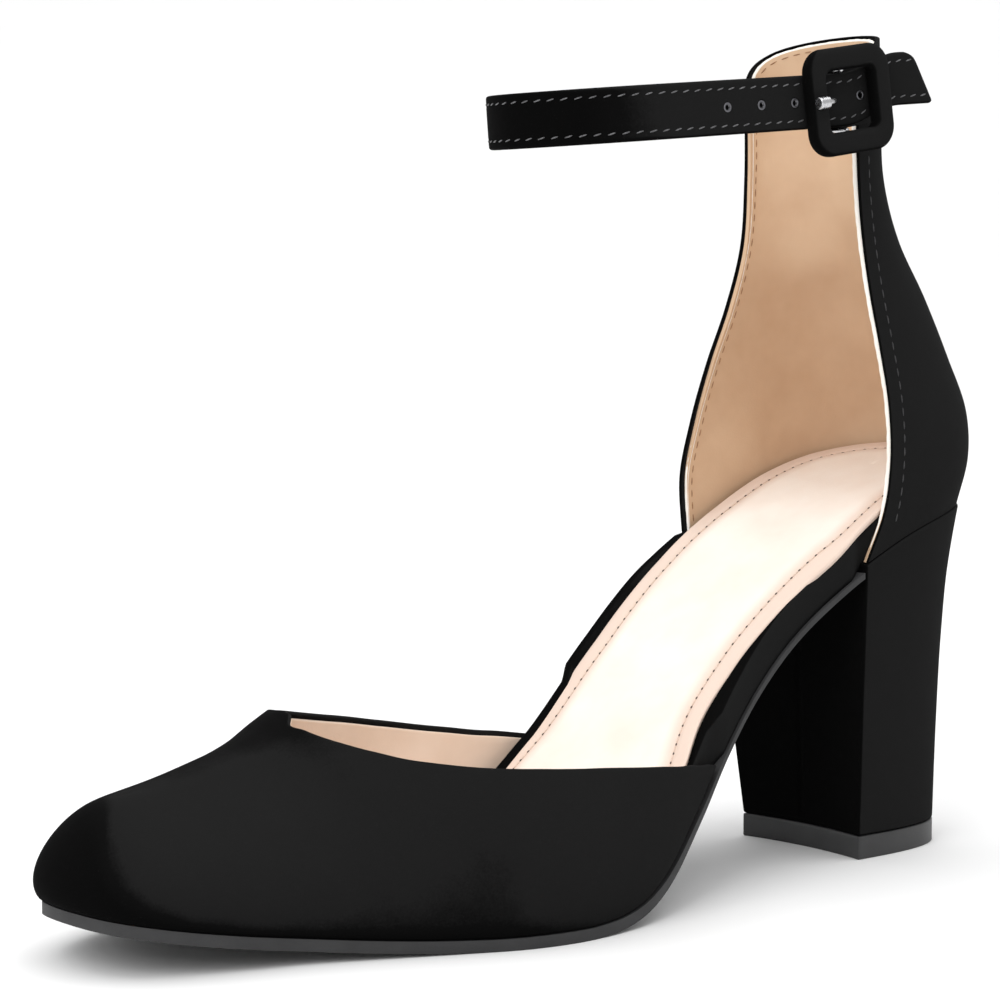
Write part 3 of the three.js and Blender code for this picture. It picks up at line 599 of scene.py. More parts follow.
def add_node(tree, kind, inputs=None, **settings):
    """Adds a node with its settings, and sets or links its inputs by name or number."""
    node = tree.nodes.new(kind)
    for key, value in settings.items():
        setattr(node, key, value)
    for key, value in (inputs or {}).items():
        if isinstance(value, bpy.types.NodeSocket):
            tree.links.new(value, node.inputs[key])
        else:
            node.inputs[key].default_value = value
    return node


def ramp(tree, fac, stops):
    """A colour ramp with hex colours at places from 0 to 1."""
    node = add_node(tree, "ShaderNodeValToRGB", {"Fac": fac})
    points = node.color_ramp.elements
    while len(points) < len(stops):
        points.new(0.5)
    for point, (place, colour) in zip(points, stops):
        point.position = place
        point.color = linear(colour)
    return node.outputs["Color"]


def noise(tree, coordinates, size_mm, detail=3.0, roughness=0.55, seed=0.0):
    """Noise with features of about this size."""
    node = add_node(
        tree, "ShaderNodeTexNoise",
        {"Vector": coordinates, "W": seed, "Scale": 1 / (size_mm * MM), "Detail": detail,
         "Roughness": roughness},
        noise_dimensions="4D",
    )
    return node.outputs["Fac"]


def object_coordinates(tree):
    return add_node(tree, "ShaderNodeTexCoord").outputs["Object"]


def vary_roughness(tree, shader, value, low, high):
    """Lets the roughness run from low to high with a value."""
    varied = add_node(tree, "ShaderNodeMapRange", {"Value": value, "To Min": low, "To Max": high})
    tree.links.new(varied.outputs[0], shader.inputs["Roughness"])


def emboss(tree, shader, height, strength, depth_mm):
    """Raises the surface's shading by a height from 0 to 1."""
    bump = add_node(
        tree, "ShaderNodeBump", {"Strength": strength, "Distance": depth_mm * MM, "Height": height})
    tree.links.new(bump.outputs[0], shader.inputs["Normal"])


def set_values(shader, **values):
    """Sets uniform values on the shader: names in lower case, with _ for a space."""
    names = {socket.name.lower().replace(" ", "_"): socket for socket in shader.inputs}
    for name, value in values.items():
        names[name].default_value = value


# Painted light: the suede's colour is made lighter where its surface faces this direction, and darker, as
# painted shade, where it turns away.
PAINTED_LIGHT_DIRECTION = (0.55, -0.6, 0.5)


def suede(name, painted_light_and_mottle_tones, sheen):
    """Microfibre suede, buffed: a deep matte black with soft patches where the pile lies another way, and
    short raised fibres in its surface. Its colour holds painted light and painted shade: lighter where
    the surface faces one direction, darker where it turns away."""
    patch_depth = 0.22
    material, tree, shader = new_material(name)
    place = object_coordinates(tree)
    patches = noise(tree, place, 11.0, detail=4.0, seed=1.0)
    fibres = noise(tree, place, 0.45, detail=6.0, roughness=0.7, seed=2.0)
    # Painted light: how far the surface faces one direction lightens the base colour.
    facing = add_node(tree, "ShaderNodeNewGeometry")
    painted_light_facing = add_node(
        tree, "ShaderNodeVectorMath", {0: facing.outputs["Normal"], 1: PAINTED_LIGHT_DIRECTION},
        operation="DOT_PRODUCT")
    mixed = add_node(tree, "ShaderNodeMath", {0: patches, 1: fibres}, operation="ADD")
    mottle = add_node(
        tree, "ShaderNodeMath", {0: mixed.outputs[0], 1: patch_depth, 2: -patch_depth},
        operation="MULTIPLY_ADD")
    painted_light_and_mottle = add_node(
        tree, "ShaderNodeMath", {0: painted_light_facing.outputs["Value"], 1: mottle.outputs[0]}, operation="ADD")
    tree.links.new(ramp(tree, painted_light_and_mottle.outputs[0], painted_light_and_mottle_tones), shader.inputs["Base Color"])
    vary_roughness(tree, shader, patches, 0.88, 1.0)
    emboss(tree, shader, fibres, 0.35, 0.12)
    set_values(
        shader, specular_ior_level=0.02, sheen_weight=sheen, sheen_roughness=0.4,
        sheen_tint=linear("#b9b9bd"))
    return material


def lining_leather(name, dark, light, rough, bump_depth, grain_mm=0.5, margin=None):
    """Soft polyurethane lining with a fine pebble grain and slight clouding. A margin colour takes over
    where the mesh's margin value says so; on the insole this darker, pinker margin is partly the
    leather's own tone and partly painted shade."""
    material, tree, shader = new_material(name)
    place = object_coordinates(tree)
    cloud = noise(tree, place, 16.0, detail=3.0, seed=3.0)
    colour = ramp(tree, cloud, [(0.32, dark), (0.68, light)])
    if margin:
        # In a colour mix, inputs 6 and 7 are its two colours, and output 2 is the mixed one.
        # Partly painted shade: the margin value darkens the colour towards the edge.
        near_edge = add_node(tree, "ShaderNodeAttribute", attribute_name="margin")
        margin_tone_and_shade_mix = add_node(
            tree, "ShaderNodeMix", {"Factor": near_edge.outputs["Fac"], 6: colour, 7: linear(margin)},
            data_type="RGBA")
        colour = margin_tone_and_shade_mix.outputs[2]
    tree.links.new(colour, shader.inputs["Base Color"])
    cells = add_node(
        tree, "ShaderNodeTexVoronoi",
        {"Vector": place, "Scale": 1 / (grain_mm * MM)}, feature="SMOOTH_F1")
    fine = noise(tree, place, 0.25, detail=4.0, seed=4.0)
    grain = add_node(tree, "ShaderNodeMath", {0: cells.outputs["Distance"], 1: fine}, operation="ADD")
    emboss(tree, shader, grain.outputs[0], 0.4, bump_depth)
    vary_roughness(tree, shader, fine, rough, rough + 0.16)
    set_values(
        shader, specular_ior_level=0.4, subsurface_weight=0.05,
        subsurface_radius=(0.0012, 0.0008, 0.0006))
    return material


def rubber(name, dark, light, rough, coat):
    """Moulded thermoplastic rubber: a satin grey with faint mould marks."""
    material, tree, shader = new_material(name)
    place = object_coordinates(tree)
    cloud = noise(tree, place, 7.0, detail=4.0, seed=5.0)
    tree.links.new(ramp(tree, cloud, [(0.35, dark), (0.65, light)]), shader.inputs["Base Color"])
    fine = noise(tree, place, 0.35, detail=3.0, seed=6.0)
    vary_roughness(tree, shader, fine, rough, rough + 0.15)
    emboss(tree, shader, fine, 0.25, 0.06)
    set_values(shader, ior=1.5, coat_weight=coat, coat_roughness=0.18)
    return material


def plated_metal(name, colour, rough):
    """Nickel plate on small castings: bright, with faint polishing marks."""
    material, tree, shader = new_material(name)
    fine = noise(tree, object_coordinates(tree), 0.4, detail=3.0, seed=7.0)
    vary_roughness(tree, shader, fine, rough, rough + 0.14)
    emboss(tree, shader, fine, 0.15, 0.03)
    set_values(shader, base_color=linear(colour), metallic=1.0)
    return material


def thread(name, dark, light):
    """Twisted polyester thread, whose ply shows as fine light and dark bands."""
    material, tree, shader = new_material(name)
    ply = noise(tree, object_coordinates(tree), 0.3, detail=2.0, seed=8.0)
    tree.links.new(ramp(tree, ply, [(0.35, dark), (0.65, light)]), shader.inputs["Base Color"])
    emboss(tree, shader, ply, 0.5, 0.08)
    set_values(shader, roughness=0.7, sheen_weight=0.2)
    return material


# The ramp runs from painted shade on surfaces turned away from the painted light direction to painted
# light on surfaces facing it, with the random patches mixed in.
BLACK_SUEDE = suede(
    "black_microfibre_suede",
    [(0.0, "#080808"), (0.26, "#0c0c0c"), (0.4, "#1b1b1b"), (0.9, "#202020")], 0.012)
BEIGE_LINING = lining_leather("beige_lining", "#c9a686", "#d6b696", 0.55, 0.05)
VAMP_BEIGE = lining_leather("vamp_lining_leather", "#e2c9b4", "#ecd6c4", 0.55, 0.05)
# The insole's margin colour is darker and pinker: partly the leather's own tone, partly painted shade for
# the rolled edge turned from the light.
CREAM_SOCK = lining_leather(
    "cream_insole_leather", "#f0e2d6", "#f7eee4", 0.45, 0.04, margin="#e0cabb")
CUT_EDGE = lining_leather("lining_cut_edge", "#f2ece2", "#fbf7f0", 0.7, 0.08, 0.3)
SOLE_RUBBER = rubber("grey_sole_rubber", "#262627", "#2e2e2f", 0.6, 0.0)
LIFT_RUBBER = rubber("grey_lift_rubber", "#252526", "#2d2d2e", 0.42, 0.05)
NICKEL = plated_metal("nickel_plate", "#c4c4c6", 0.2)
DARK_NICKEL = plated_metal("dark_nickel_plate", "#6c6c70", 0.28)
GREY_THREAD = thread("grey_strap_thread", "#38383a", "#6e6e70")
BLACK_THREAD = thread("dark_quarter_thread", "#141415", "#2b2b2d")
TAN_THREAD = thread("tan_lining_thread", "#8a6444", "#a67c58")
SOCK_THREAD = thread("insole_thread", "#cdb4a2", "#e2cebf")
# Painted shade: dark brown beads that stand in for the shade inside the insole's needle holes.
PAINTED_NEEDLE_HOLE_SHADE = thread("insole_needle_hole", "#3a2a22", "#5a463a")


def outline_rings(inset_at, depths, count):
    """Closed rings at several depths inside the sole's edge, and the shares along them."""
    station = np.linspace(0, 1, count)
    share = share_of(station)
    rings = []
    for depth in depths:
        outer = edge_point("outer", station, inset_at("outer", share) + depth)
        inner = edge_point("inner", station, inset_at("inner", share) + depth)
        rings.append(np.concatenate((outer, inner[-2:0:-1])))
    outer, inner = rings[-1][:count], np.concatenate((rings[-1][:1], rings[-1][:count - 2:-1]))
    middle = (outer + inner[:count]) / 2
    spine = np.concatenate((middle, middle[-2:0:-1]))
    return rings, spine


def cross_of(points):
    """How far across the sole a point in plan lies: 0 at the outer edge, 1 at the inner."""
    share = points[..., 0] / LENGTH
    outer, inner = edge_at("outer", share), edge_at("inner", share)
    span = np.maximum(inner - outer, 1e-3)
    return np.clip((points[..., 1] - outer) / span, 0, 1)


def footing_height(points, thickness):
    """The padded footing's height at points in plan."""
    share = np.clip(points[..., 0] / LENGTH, 0, 1)
    return level(points[..., 0], thickness) + pad_lift(share, cross_of(points))


def at_height(plan, height):
    """Points in plan, at a height."""
    return stack3(plan[..., 0], plan[..., 1], height)


def ring_body(name, layers):
    """A closed body from rings of points: the outermost two have no area, or are the same ring."""
    grid = np.array(layers)
    piece = mesh_piece(name, grid, grid_faces(grid.shape[0], grid.shape[1], closed=True))
    tidy_mesh(piece)
    return piece


RING_COUNT = 220
SOLE_SKIVE = 1.3
SKIVE_FROM = 0.42
SKIVE_TO = 0.66


def outsole_top(x):
    """The top of the outsole, which is skived thinner from the tread back."""
    share = np.asarray(x) / LENGTH
    skive = SOLE_SKIVE * smoothstep(share, SKIVE_FROM, SKIVE_TO)
    return level(x, OUTSOLE_THICKNESS + GAP * 0.8 - skive)


WAIST_RIM = 1.9


def make_footbed():
    """The insole board and its cushion, wrapped in suede, whose rim stands up beside the lining on
    the inner side, and over it at the waist."""
    rim = SOCK_THICKNESS + GAP * 0.5
    top = FOOTBED_FROM + FOOTBED_THICKNESS
    over_sole = 0.04
    profile = [
        (9.0, 0.0), (5.6, 0.0), (3.0, 1.0), (1.7, 0.97), (1.0, 0.8), (0.5, 0.42), (0.15, -0.25)]
    sides = [(-0.05, 0.75), (-0.12, 0.45), (-0.05, 0.16), (0.25, 0.0), (6.0, 0.0)]
    rings, _ = outline_rings(footbed_inset, [depth for depth, _ in profile], RING_COUNT)
    spine = outline_rings(footbed_inset, [profile[0][0]], RING_COUNT)[1]
    layers = [at_height(spine, footing_height(spine, top))]
    for ring, (_, rise) in zip(rings, profile):
        share, cross = ring[:, 0] / LENGTH, cross_of(ring)
        at_waist = smoothstep(share, 0.42, 0.52) * (1 - smoothstep(share, 0.7, 0.8))
        stand = rim + WAIST_RIM * at_waist * smoothstep(cross, 0.85, 0.96)
        rise_here = np.minimum(rise, rise * smoothstep(cross, 0.4, 0.75))
        layers.append(at_height(ring, footing_height(ring, top) + stand * rise_here))
    side_rings, _ = outline_rings(footbed_inset, [depth for depth, _ in sides], RING_COUNT)
    for ring, (_, up) in zip(side_rings, sides):
        low = outsole_top(ring[:, 0]) + over_sole
        layers.append(at_height(ring, lerp(low, footing_height(ring, top), up)))
    layers.append(at_height(spine, outsole_top(spine[:, 0]) + over_sole))
    dress(ring_body("footbed_wrap", layers), BLACK_SUEDE, ["footbed"])


# The insole lining's stitches, its rolled outer edge and the width of its margin's blend. The margin's
# darker, pinker colour is partly the leather's own tone and partly painted shade for the rolled edge.
SOCK_STITCH_DEPTH = 3.9
SOCK_STITCH_SINK = 0.42
SOCK_STITCH_PITCH = 2.7
SOCK_ROLL = 1.5
SOCK_MARGIN_TONE_AND_SHADE_BLEND = 4.0


def sock_top(points, depth):
    """The top of the insole lining at a depth inside its edge: it rolls over on the outer side,
    and its stitches lie in a sunk channel."""
    share = points[:, 0] / LENGTH
    at_waist = smoothstep(share, 0.56, 0.66) * (1 - smoothstep(share, 0.77, 0.81))
    rolled = at_waist * (1 - smoothstep(cross_of(points), 0.2, 0.4))
    roll = -0.35 * max(0, 1 - depth / 0.8) ** 2.2
    droop = -SOCK_ROLL * rolled * max(0, 1 - depth / (SOCK_STITCH_DEPTH + 0.6)) ** 1.5
    channel = -SOCK_STITCH_SINK * math.exp(-((depth - SOCK_STITCH_DEPTH) / 0.55) ** 2)
    swell = 0.22 * math.exp(-((depth - 7.5) / 3.0) ** 2)
    height = footing_height(points, SOCK_FROM + SOCK_THICKNESS) + roll + droop + channel + swell
    return at_height(points, height)


def along_ring(path, offset):
    """A closed path again, starting a little further along."""
    loop = np.concatenate((path, path[:1]))
    run = run_along(loop)
    at = (np.linspace(0, run[-1], 2 * len(path), endpoint=False) + offset) % run[-1]
    return at_run(at, run, loop)


def make_sock():
    """The cream insole lining, with its channel for the stitches."""
    depths = [
        14.0, 11.0, 9.0, 7.5, 6.2, 5.4, 4.9, 4.5, 4.2, 3.9,
        3.6, 3.3, 2.9, 2.4, 1.8, 1.2, 0.7, 0.35, 0.12, 0.0]
    rings, _ = outline_rings(lining_inset, depths, RING_COUNT)
    wide_rings, spine = outline_rings(lining_inset, depths[:1], RING_COUNT)
    layers = [sock_top(lerp(spine, wide_rings[0], share), depth)
              for share, depth in ((0, 40.0), (0.35, 30.0), (0.7, 20.0))]
    layers += [sock_top(ring, depth) for ring, depth in zip(rings, depths)]
    layers.append(layers[-1] - (0, 0, SOCK_THICKNESS))
    for ring, depth in ((rings[-6], depths[-6]), (spine, 40.0)):
        under = sock_top(ring, depth)[:, 2] - 0.5
        layers.append(at_height(ring, np.minimum(footing_height(ring, SOCK_FROM - GAP * 0.9), under)))
    piece = ring_body("insole_lining", layers)
    place = np.array([vertex.co[:] for vertex in piece.data.vertices]) / MM - SHIFT
    depth = np.sqrt(((place[:, None, :2] - rings[-1][None]) ** 2).sum(-1).min(1))
    # Partly painted shade: the margin value runs from 1 at the edge to 0 inside the stitches, darkening
    # the lining's colour there.
    margin_tone_and_shade_value = piece.data.attributes.new("margin", "FLOAT", "POINT")
    margin_tone_and_shade_value.data.foreach_set(
        "value", 1 - smoothstep(depth, SOCK_STITCH_DEPTH - 0.3, SOCK_STITCH_DEPTH + SOCK_MARGIN_TONE_AND_SHADE_BLEND))
    dress(piece, CREAM_SOCK, ["insole_sock"])
    ring = outline_rings(lining_inset, [SOCK_STITCH_DEPTH], RING_COUNT)[0][0]
    path = sock_top(ring, SOCK_STITCH_DEPTH) + (0, 0, 0.08)
    up = (0, 0, 1)
    stitch_row(
        "insole_stitches", along_ring(path, 0.0), up, SOCK_THREAD,
        pitch=SOCK_STITCH_PITCH, length=2.1, width=0.4, closed=True)
    # Painted shade: dark beads between the stitches, standing in for the shade in the needle holes.
    stitch_row(
        "insole_needle_holes", along_ring(path, SOCK_STITCH_PITCH / 2) - (0, 0, 0.02), up,
        PAINTED_NEEDLE_HOLE_SHADE, pitch=SOCK_STITCH_PITCH, length=0.8, width=0.4, closed=True)


def make_outsole():
    """The grey outsole, its edge softened by a small bevel."""
    rows, across = 200, 26
    station = np.linspace(0, 1, rows) * station_of(BREAST_AT)
    outer = edge_point("outer", station, np.zeros(rows))
    inner = edge_point("inner", station, np.zeros(rows))
    t = np.linspace(0, 1, across)[None, :, None]
    plan = lerp(outer[:, None], inner[:, None], t)
    bottom = at_height(plan, level(plan[..., 0], 0.0))
    piece = slab("outsole_rubber", bottom, at_height(plan, outsole_top(plan[..., 0])))
    soften(piece, 0.35)
    dress(piece, SOLE_RUBBER, ["outsole"])


def slab(name, bottom, top):
    """A closed body between two grids of the same size."""
    rows, columns = bottom.shape[:2]
    lower = grid_faces(rows, columns)
    shift = rows * columns
    upper = [tuple(index + shift for index in reversed(face)) for face in lower]
    rim = list(range(columns))
    rim += [i * columns + columns - 1 for i in range(1, rows)]
    rim += [(rows - 1) * columns + j for j in range(columns - 2, -1, -1)]
    rim += [i * columns for i in range(rows - 2, 0, -1)]
    walls = [(a, b, b + shift, a + shift) for a, b in zip(rim, rim[1:] + rim[:1])]
    points = np.concatenate((bottom.reshape(-1, 3), top.reshape(-1, 3)))
    piece = mesh_piece(name, points, lower + upper + walls)
    tidy_mesh(piece)
    return piece


# The uppers' two layers, and how far the lining stops short of the edge.
OUTER_LAYER = 1.0
OUTER_EDGE = 0.42
LINING_UNDER = OUTER_LAYER + 0.02
VAMP_LINING = 0.72
QUARTER_LINING = 0.95
LINING_SETBACK = {"outer": 0.3, "inner": 1.15, "crown": 0.3}


def walled(piece, thickness, start, bevel):
    """Gives a sheet its thickness, from a depth under its face, and rounds its edges."""
    if start:
        add_modifier(piece, "DISPLACE", strength=-start * MM, mid_level=0.0)
    add_modifier(piece, "SOLIDIFY", thickness=thickness * MM, offset=-1, use_rim=True)
    soften(piece, bevel)


def make_vamp():
    """The vamp: suede outside with a turned edge, beige lining inside, set back from it."""
    skin = skin_piece("vamp_suede", vamp_grid(150, 64))
    walled(skin, OUTER_LAYER, 0.0, OUTER_EDGE)
    dress(skin, BLACK_SUEDE, ["vamp"])
    inside = skin_piece("vamp_lining", vamp_grid(120, 48, LINING_SETBACK))
    walled(inside, VAMP_LINING, LINING_UNDER, 0.2)
    dress(inside, VAMP_BEIGE)


def make_quarter():
    """The quarter: suede outside, and a lining inside that stops short of the suede's edge."""
    skin = skin_piece("quarter_suede", quarter_grid(120, 140))
    walled(skin, OUTER_LAYER, 0.0, OUTER_EDGE)
    dress(skin, BLACK_SUEDE, ["quarter"])
    inside = skin_piece("quarter_lining", quarter_grid(100, 120, LINING_SETBACK["inner"]))
    walled(inside, QUARTER_LINING, LINING_UNDER, 0.22)
    dress(inside, BEIGE_LINING)


def quarter_edge_path(count):
    """The quarter's free edge, from the outer seat corner over the top to the inner one: points,
    directions into the panel and out of its face, and the panel's own points and normals."""
    height = np.linspace(0.03, 1, 160)
    turn = np.sin(np.pi / 2 * np.linspace(-1, 1, 700))
    outer = quarter_point(-1.0, height * quarter_top(np.array(-1.0)))
    inner = quarter_point(1.0, height * quarter_top(np.array(1.0)))
    top = quarter_point(turn, quarter_top(turn))
    whole = np.concatenate((outer, top[1:-1], inner[::-1]))
    run = run_along(whole)
    line = at_run(np.linspace(0, run[-1], count), run, whole)
    along = unit(np.gradient(line, axis=0))
    rows, turns = 160, 201
    grid = quarter_grid(rows, turns)
    normal = unit(np.cross(np.gradient(grid, axis=0), np.gradient(grid, axis=1)))
    if normal[:, turns // 2, 0].mean() < 0:
        normal = -normal
    flat, normals = grid.reshape(-1, 3), normal.reshape(-1, 3)
    near = normals[nearest(flat, line)]
    out = unit(near - along * (near * along).sum(1)[:, None])
    into = np.cross(out, along)
    if ((grid[rows // 2, turns // 2] - line) * into).sum(1).mean() < 0:
        into = -into
    return line, into, out, flat, normals


def nearest(points, aims):
    """For each aim, which of the points lies nearest."""
    return np.array([((points - aim) ** 2).sum(1).argmin() for aim in aims])


def inside_edge(edge, inset, depth):
    """Points on the panel at a distance in from its free edge and a depth under its face."""
    line, into, _, flat, normals = edge
    aim = line + into * np.broadcast_to(inset, (len(line),))[:, None]
    near = nearest(flat, aim)
    rise = ((aim - flat[near]) * normals[near]).sum(1)[:, None]
    return aim - normals[near] * (rise + depth), normals[near]


def make_quarter_edge():
    """The lining's pale cut edge, a bead along the quarter's free edge that is broad on the outer
    front, and the stitches beside it on both faces."""
    count, ends = 420, 12
    edge = quarter_edge_path(count)
    _, into, out, _, _ = edge
    share = np.linspace(0, 1, count)
    outer_front = 1 - smoothstep(share, 0.36, 0.4)
    centre, _ = inside_edge(edge, lerp(LINING_SETBACK["inner"], 0.08, outer_front), OUTER_LAYER + 0.5)
    full = smoothstep(share, 0.0, 0.05) * (1 - smoothstep(share, 0.985, 1))
    ragged = 1 + 0.16 * np.sin(share * 410) * np.sin(share * 173 + 1)
    half_in = lerp(0.42, 0.62, outer_front) * lerp(0.25, 1, full) * ragged
    half_out = lerp(0.5, 0.6, outer_front) * lerp(0.3, 1, full)
    angle = np.linspace(0, 2 * np.pi, 12, endpoint=False)
    grid = (centre[:, None] + into[:, None] * (half_in[:, None] * np.cos(angle))[..., None]
            + out[:, None] * (half_out[:, None] * np.sin(angle))[..., None])
    dress(tube_piece("quarter_lining_edge", grid), CUT_EDGE)
    path, normals = (points[ends:-ends] for points in inside_edge(edge, 3.2, -0.02))
    stitch_row(
        "quarter_stitches", path, normals, BLACK_THREAD,
        pitch=3.0, length=2.0, width=0.34)
    inset, under = LINING_SETBACK["inner"] + 1.15, OUTER_LAYER + QUARTER_LINING + 0.03
    path, normals = (points[ends:-ends] for points in inside_edge(edge, inset, under))
    stitch_row(
        "lining_stitches", path, -normals, TAN_THREAD, pitch=2.9, length=1.9, width=0.32)


def tube_piece(name, grid):
    """A closed body from a grid of rings, with a fan at each end."""
    rows, columns = grid.shape[:2]
    faces = grid_faces(rows, columns, closed=True)
    points = np.concatenate((grid.reshape(-1, 3), grid[:1].mean(1), grid[-1:].mean(1)))
    low, high = rows * columns, rows * columns + 1
    for j in range(columns):
        k = (j + 1) % columns
        faces.append((low, k, j))
        faces.append((high, (rows - 1) * columns + j, (rows - 1) * columns + k))
    piece = mesh_piece(name, points, faces)
    tidy_mesh(piece)
    return piece


def heel_loop(up, count):
    """The heel's outline at a height share, from the breast's outer corner round the back."""
    to_seat = read(HEEL_FLARE, "up", "seat", up)
    to_breast = read(HEEL_FLARE, "up", "breast", up)
    seat_breast = BREAST_AT + GAP / LENGTH
    t = np.sin(np.pi / 2 * np.linspace(0, 1, count))
    share = lerp(seat_breast, 1, t)
    round_off = np.maximum(0, 1 - t**3) ** (1 / 3)
    flare = lerp(to_breast, to_seat, t)
    base_x = LENGTH * HEEL_BASE_FROM + HEEL_BASE_DEPTH * t
    loop = []
    seats = []
    for side, cross in (("outer", 0.0), ("inner", 1.0)):
        seat = edge_point(side, station_of(share), np.zeros(count))
        base_y = HEEL_BASE_WIDTH * (cross - 0.5) * round_off
        x = lerp(base_x, seat[:, 0], flare)
        y = lerp(base_y, seat[:, 1], flare)
        loop.append(np.stack((x, y), -1))
        seats.append(seat[:, 0])
    breast_count = count // 2 * 2 + 1
    cross = np.linspace(1, 0, breast_count)[1:-1]
    hollow = BREAST_HOLLOW * (1 - (2 * cross - 1) ** 2)
    from_seam = (cross - lerp(BREAST_SEAM["low"], BREAST_SEAM["high"], up)) / BREAST_SEAM["width"]
    seam = BREAST_SEAM["depth"] * np.exp(-from_seam**2)
    corner_out, corner_in = loop[0][0], loop[1][0]
    breast = lerp(corner_out, corner_in, cross[:, None])
    breast[:, 0] += hollow + seam * (up > 0.02)
    plan = np.concatenate((loop[0], loop[1][-2::-1], breast))
    seat_x = np.concatenate((seats[0], seats[1][-2::-1], np.full(len(breast), seats[0][0])))
    seat_x[-len(breast):] += hollow
    return plan, seat_x


def make_heel():
    """The covered block heel, with a seam down its breast, and the rubber top piece."""
    bottom = TOP_PIECE_HEIGHT + GAP * 0.2
    count = 60
    loops = []
    for up in np.linspace(0, 1, count):
        plan, seat_x = heel_loop(up, count)
        top = level(seat_x, OUTSOLE_THICKNESS + GAP * 0.5)
        loops.append(at_height(plan, lerp(bottom, top, up)))
    heel = tube_piece("heel_cover", np.array(loops))
    soften(heel, 0.6, segments=4, over=40)
    dress(heel, BLACK_SUEDE, ["heel"])
    base = heel_loop(0.0, count)[0]
    loops = [at_height(base, height) for height in np.linspace(0, TOP_PIECE_HEIGHT, 8)]
    lift = tube_piece("heel_top_piece", np.array(loops))
    soften(lift, 0.35, over=40)
    dress(lift, LIFT_RUBBER, ["top_piece"])


# The strap's plane: X runs back along it from the buckle, Y across the shoe, Z is its width.
STRAP_ANGLE = math.atan(STRAP_SLOPE)
BUCKLE_X = LENGTH * BUCKLE_AT
DRIFT_ANGLE = math.atan(STRAP_DRIFT)
TURN_END = LENGTH * (LOOP_FRONT + LOOP_TURN["at"][-1]) - BUCKLE_X
BUCKLE_Y = -LOOP_HALF_WIDTH + TURN_END * STRAP_DRIFT
STRAP_CENTRE_HEIGHT = float(level(LENGTH, OUTSOLE_THICKNESS + GAP)) + QUARTER_HEIGHT - STRAP_DROP

# How the strap climbs behind the buckle, and how the frame and the prong are set on it.
PAST_TAIL = 3.0
LIFT_TO = 17.0
LIFT_HEIGHT = 3.9
FRAME_TILT = 0.07
FRAME_RAISE = -0.05
PRONG_RAISE = 0.35
PRONG_REACH = 2.3
PRONG_HOLE_AT = FRAME_RIM + PRONG_REACH - FRAME_LENGTH / 2


def turned(points, angle, axis):
    """Points turned about one axis."""
    c, s = math.cos(angle), math.sin(angle)
    matrix = {
        "y": np.array([[c, 0, s], [0, 1, 0], [-s, 0, c]]),
        "z": np.array([[c, -s, 0], [s, c, 0], [0, 0, 1]]),
    }[axis]
    return np.asarray(points, float) @ matrix.T


def from_strap(points):
    """From the strap's plane to the shoe's own place."""
    return turned(points, -STRAP_ANGLE, "y") + (BUCKLE_X, 0, STRAP_CENTRE_HEIGHT)


def from_buckle(points):
    """From the buckle's own place to the shoe's: X along the strap, -Y out from the foot."""
    tilted = turned(turned(points, -FRAME_TILT, "y"), -DRIFT_ANGLE, "z")
    return from_strap(tilted + (0, BUCKLE_Y, FRAME_RAISE))


def strap_lift(along):
    """How far the strap climbs behind the middle of the buckle."""
    return LIFT_HEIGHT * smoothstep(along, 0, LIFT_TO)


def quarter_slice_point(turn, offset):
    """Where the strap's plane meets the quarter, moved out from it."""
    def height_at(x):
        return STRAP_CENTRE_HEIGHT + (x - BUCKLE_X) * STRAP_SLOPE

    point = quarter_point(turn, QUARTER_HEIGHT * 0.95)

    def near(t):
        return quarter_point(t, height_at(point[0]) - quarter_point(t, 0.0)[2])

    point = near(turn)
    small = 0.01
    along = unit((near(turn + small) - near(turn - small)) * (1, 1, 0))
    place = np.array([(point[0] - BUCKLE_X) / math.cos(STRAP_ANGLE), point[1], 0.0])
    return place + offset * np.array([along[1], -along[0], 0.0])


def smooth_curve(points, count):
    """A centripetal curve through the points, with even steps of its parameter."""
    points = np.asarray(points, float)
    line = np.concatenate(([2 * points[0] - points[1]], points, [2 * points[-1] - points[-2]]))
    place = np.linspace(0, len(points) - 1, count)
    index = np.minimum(place.astype(int), len(points) - 2)
    w = (place - index)[:, None]
    p0, p1, p2, p3 = (line[index + k] for k in range(4))
    pairs = ((p0, p1), (p1, p2), (p2, p3))
    d0, d1, d2 = (np.sqrt(np.linalg.norm(b - a, axis=1))[:, None] for a, b in pairs)
    t1 = ((p1 - p0) / d0 - (p2 - p0) / (d0 + d1) + (p2 - p1) / d1) * d1
    t2 = ((p2 - p1) / d1 - (p3 - p1) / (d1 + d2) + (p3 - p2) / d2) * d1
    squared = -3 * p1 + 3 * p2 - 2 * t1 - t2
    cubed = 2 * p1 - 2 * p2 + t1 + t2
    return p1 + t1 * w + squared * w**2 + cubed * w**3


def strap_line(count):
    """The strap's middle line, from the quarter round the ankle to past the tail."""
    stand = 2 * GAP + STRAP_THICKNESS / 2
    on_quarter = [quarter_slice_point(turn, stand) for turn in (0.5, 0.62, 0.74, 0.86, 0.97)]
    loop_x = LENGTH * (LOOP_FRONT + LOOP_TURN["at"]) - BUCKLE_X
    loop_y = LOOP_TURN["across"] * LOOP_HALF_WIDTH
    inner = [(x, y, 0) for x, y in zip(loop_x[:0:-1], loop_y[:0:-1])]
    outer = [(x, -y, 0) for x, y in zip(loop_x, loop_y)]
    straight = [(lerp(TURN_END, 0, t), lerp(-LOOP_HALF_WIDTH, BUCKLE_Y, t), 0) for t in (0.35, 0.7)]
    reach = STRAP_TAIL + PAST_TAIL
    tail = [(reach * t, BUCKLE_Y - reach * t * STRAP_DRIFT, 0) for t in (0, 0.5, 1)]
    between = lerp(on_quarter[-1], np.array(inner[0]), 0.5) + (0, 0.3, 0)
    return smooth_curve([*on_quarter, between, *inner, *outer, *straight, *tail], count)


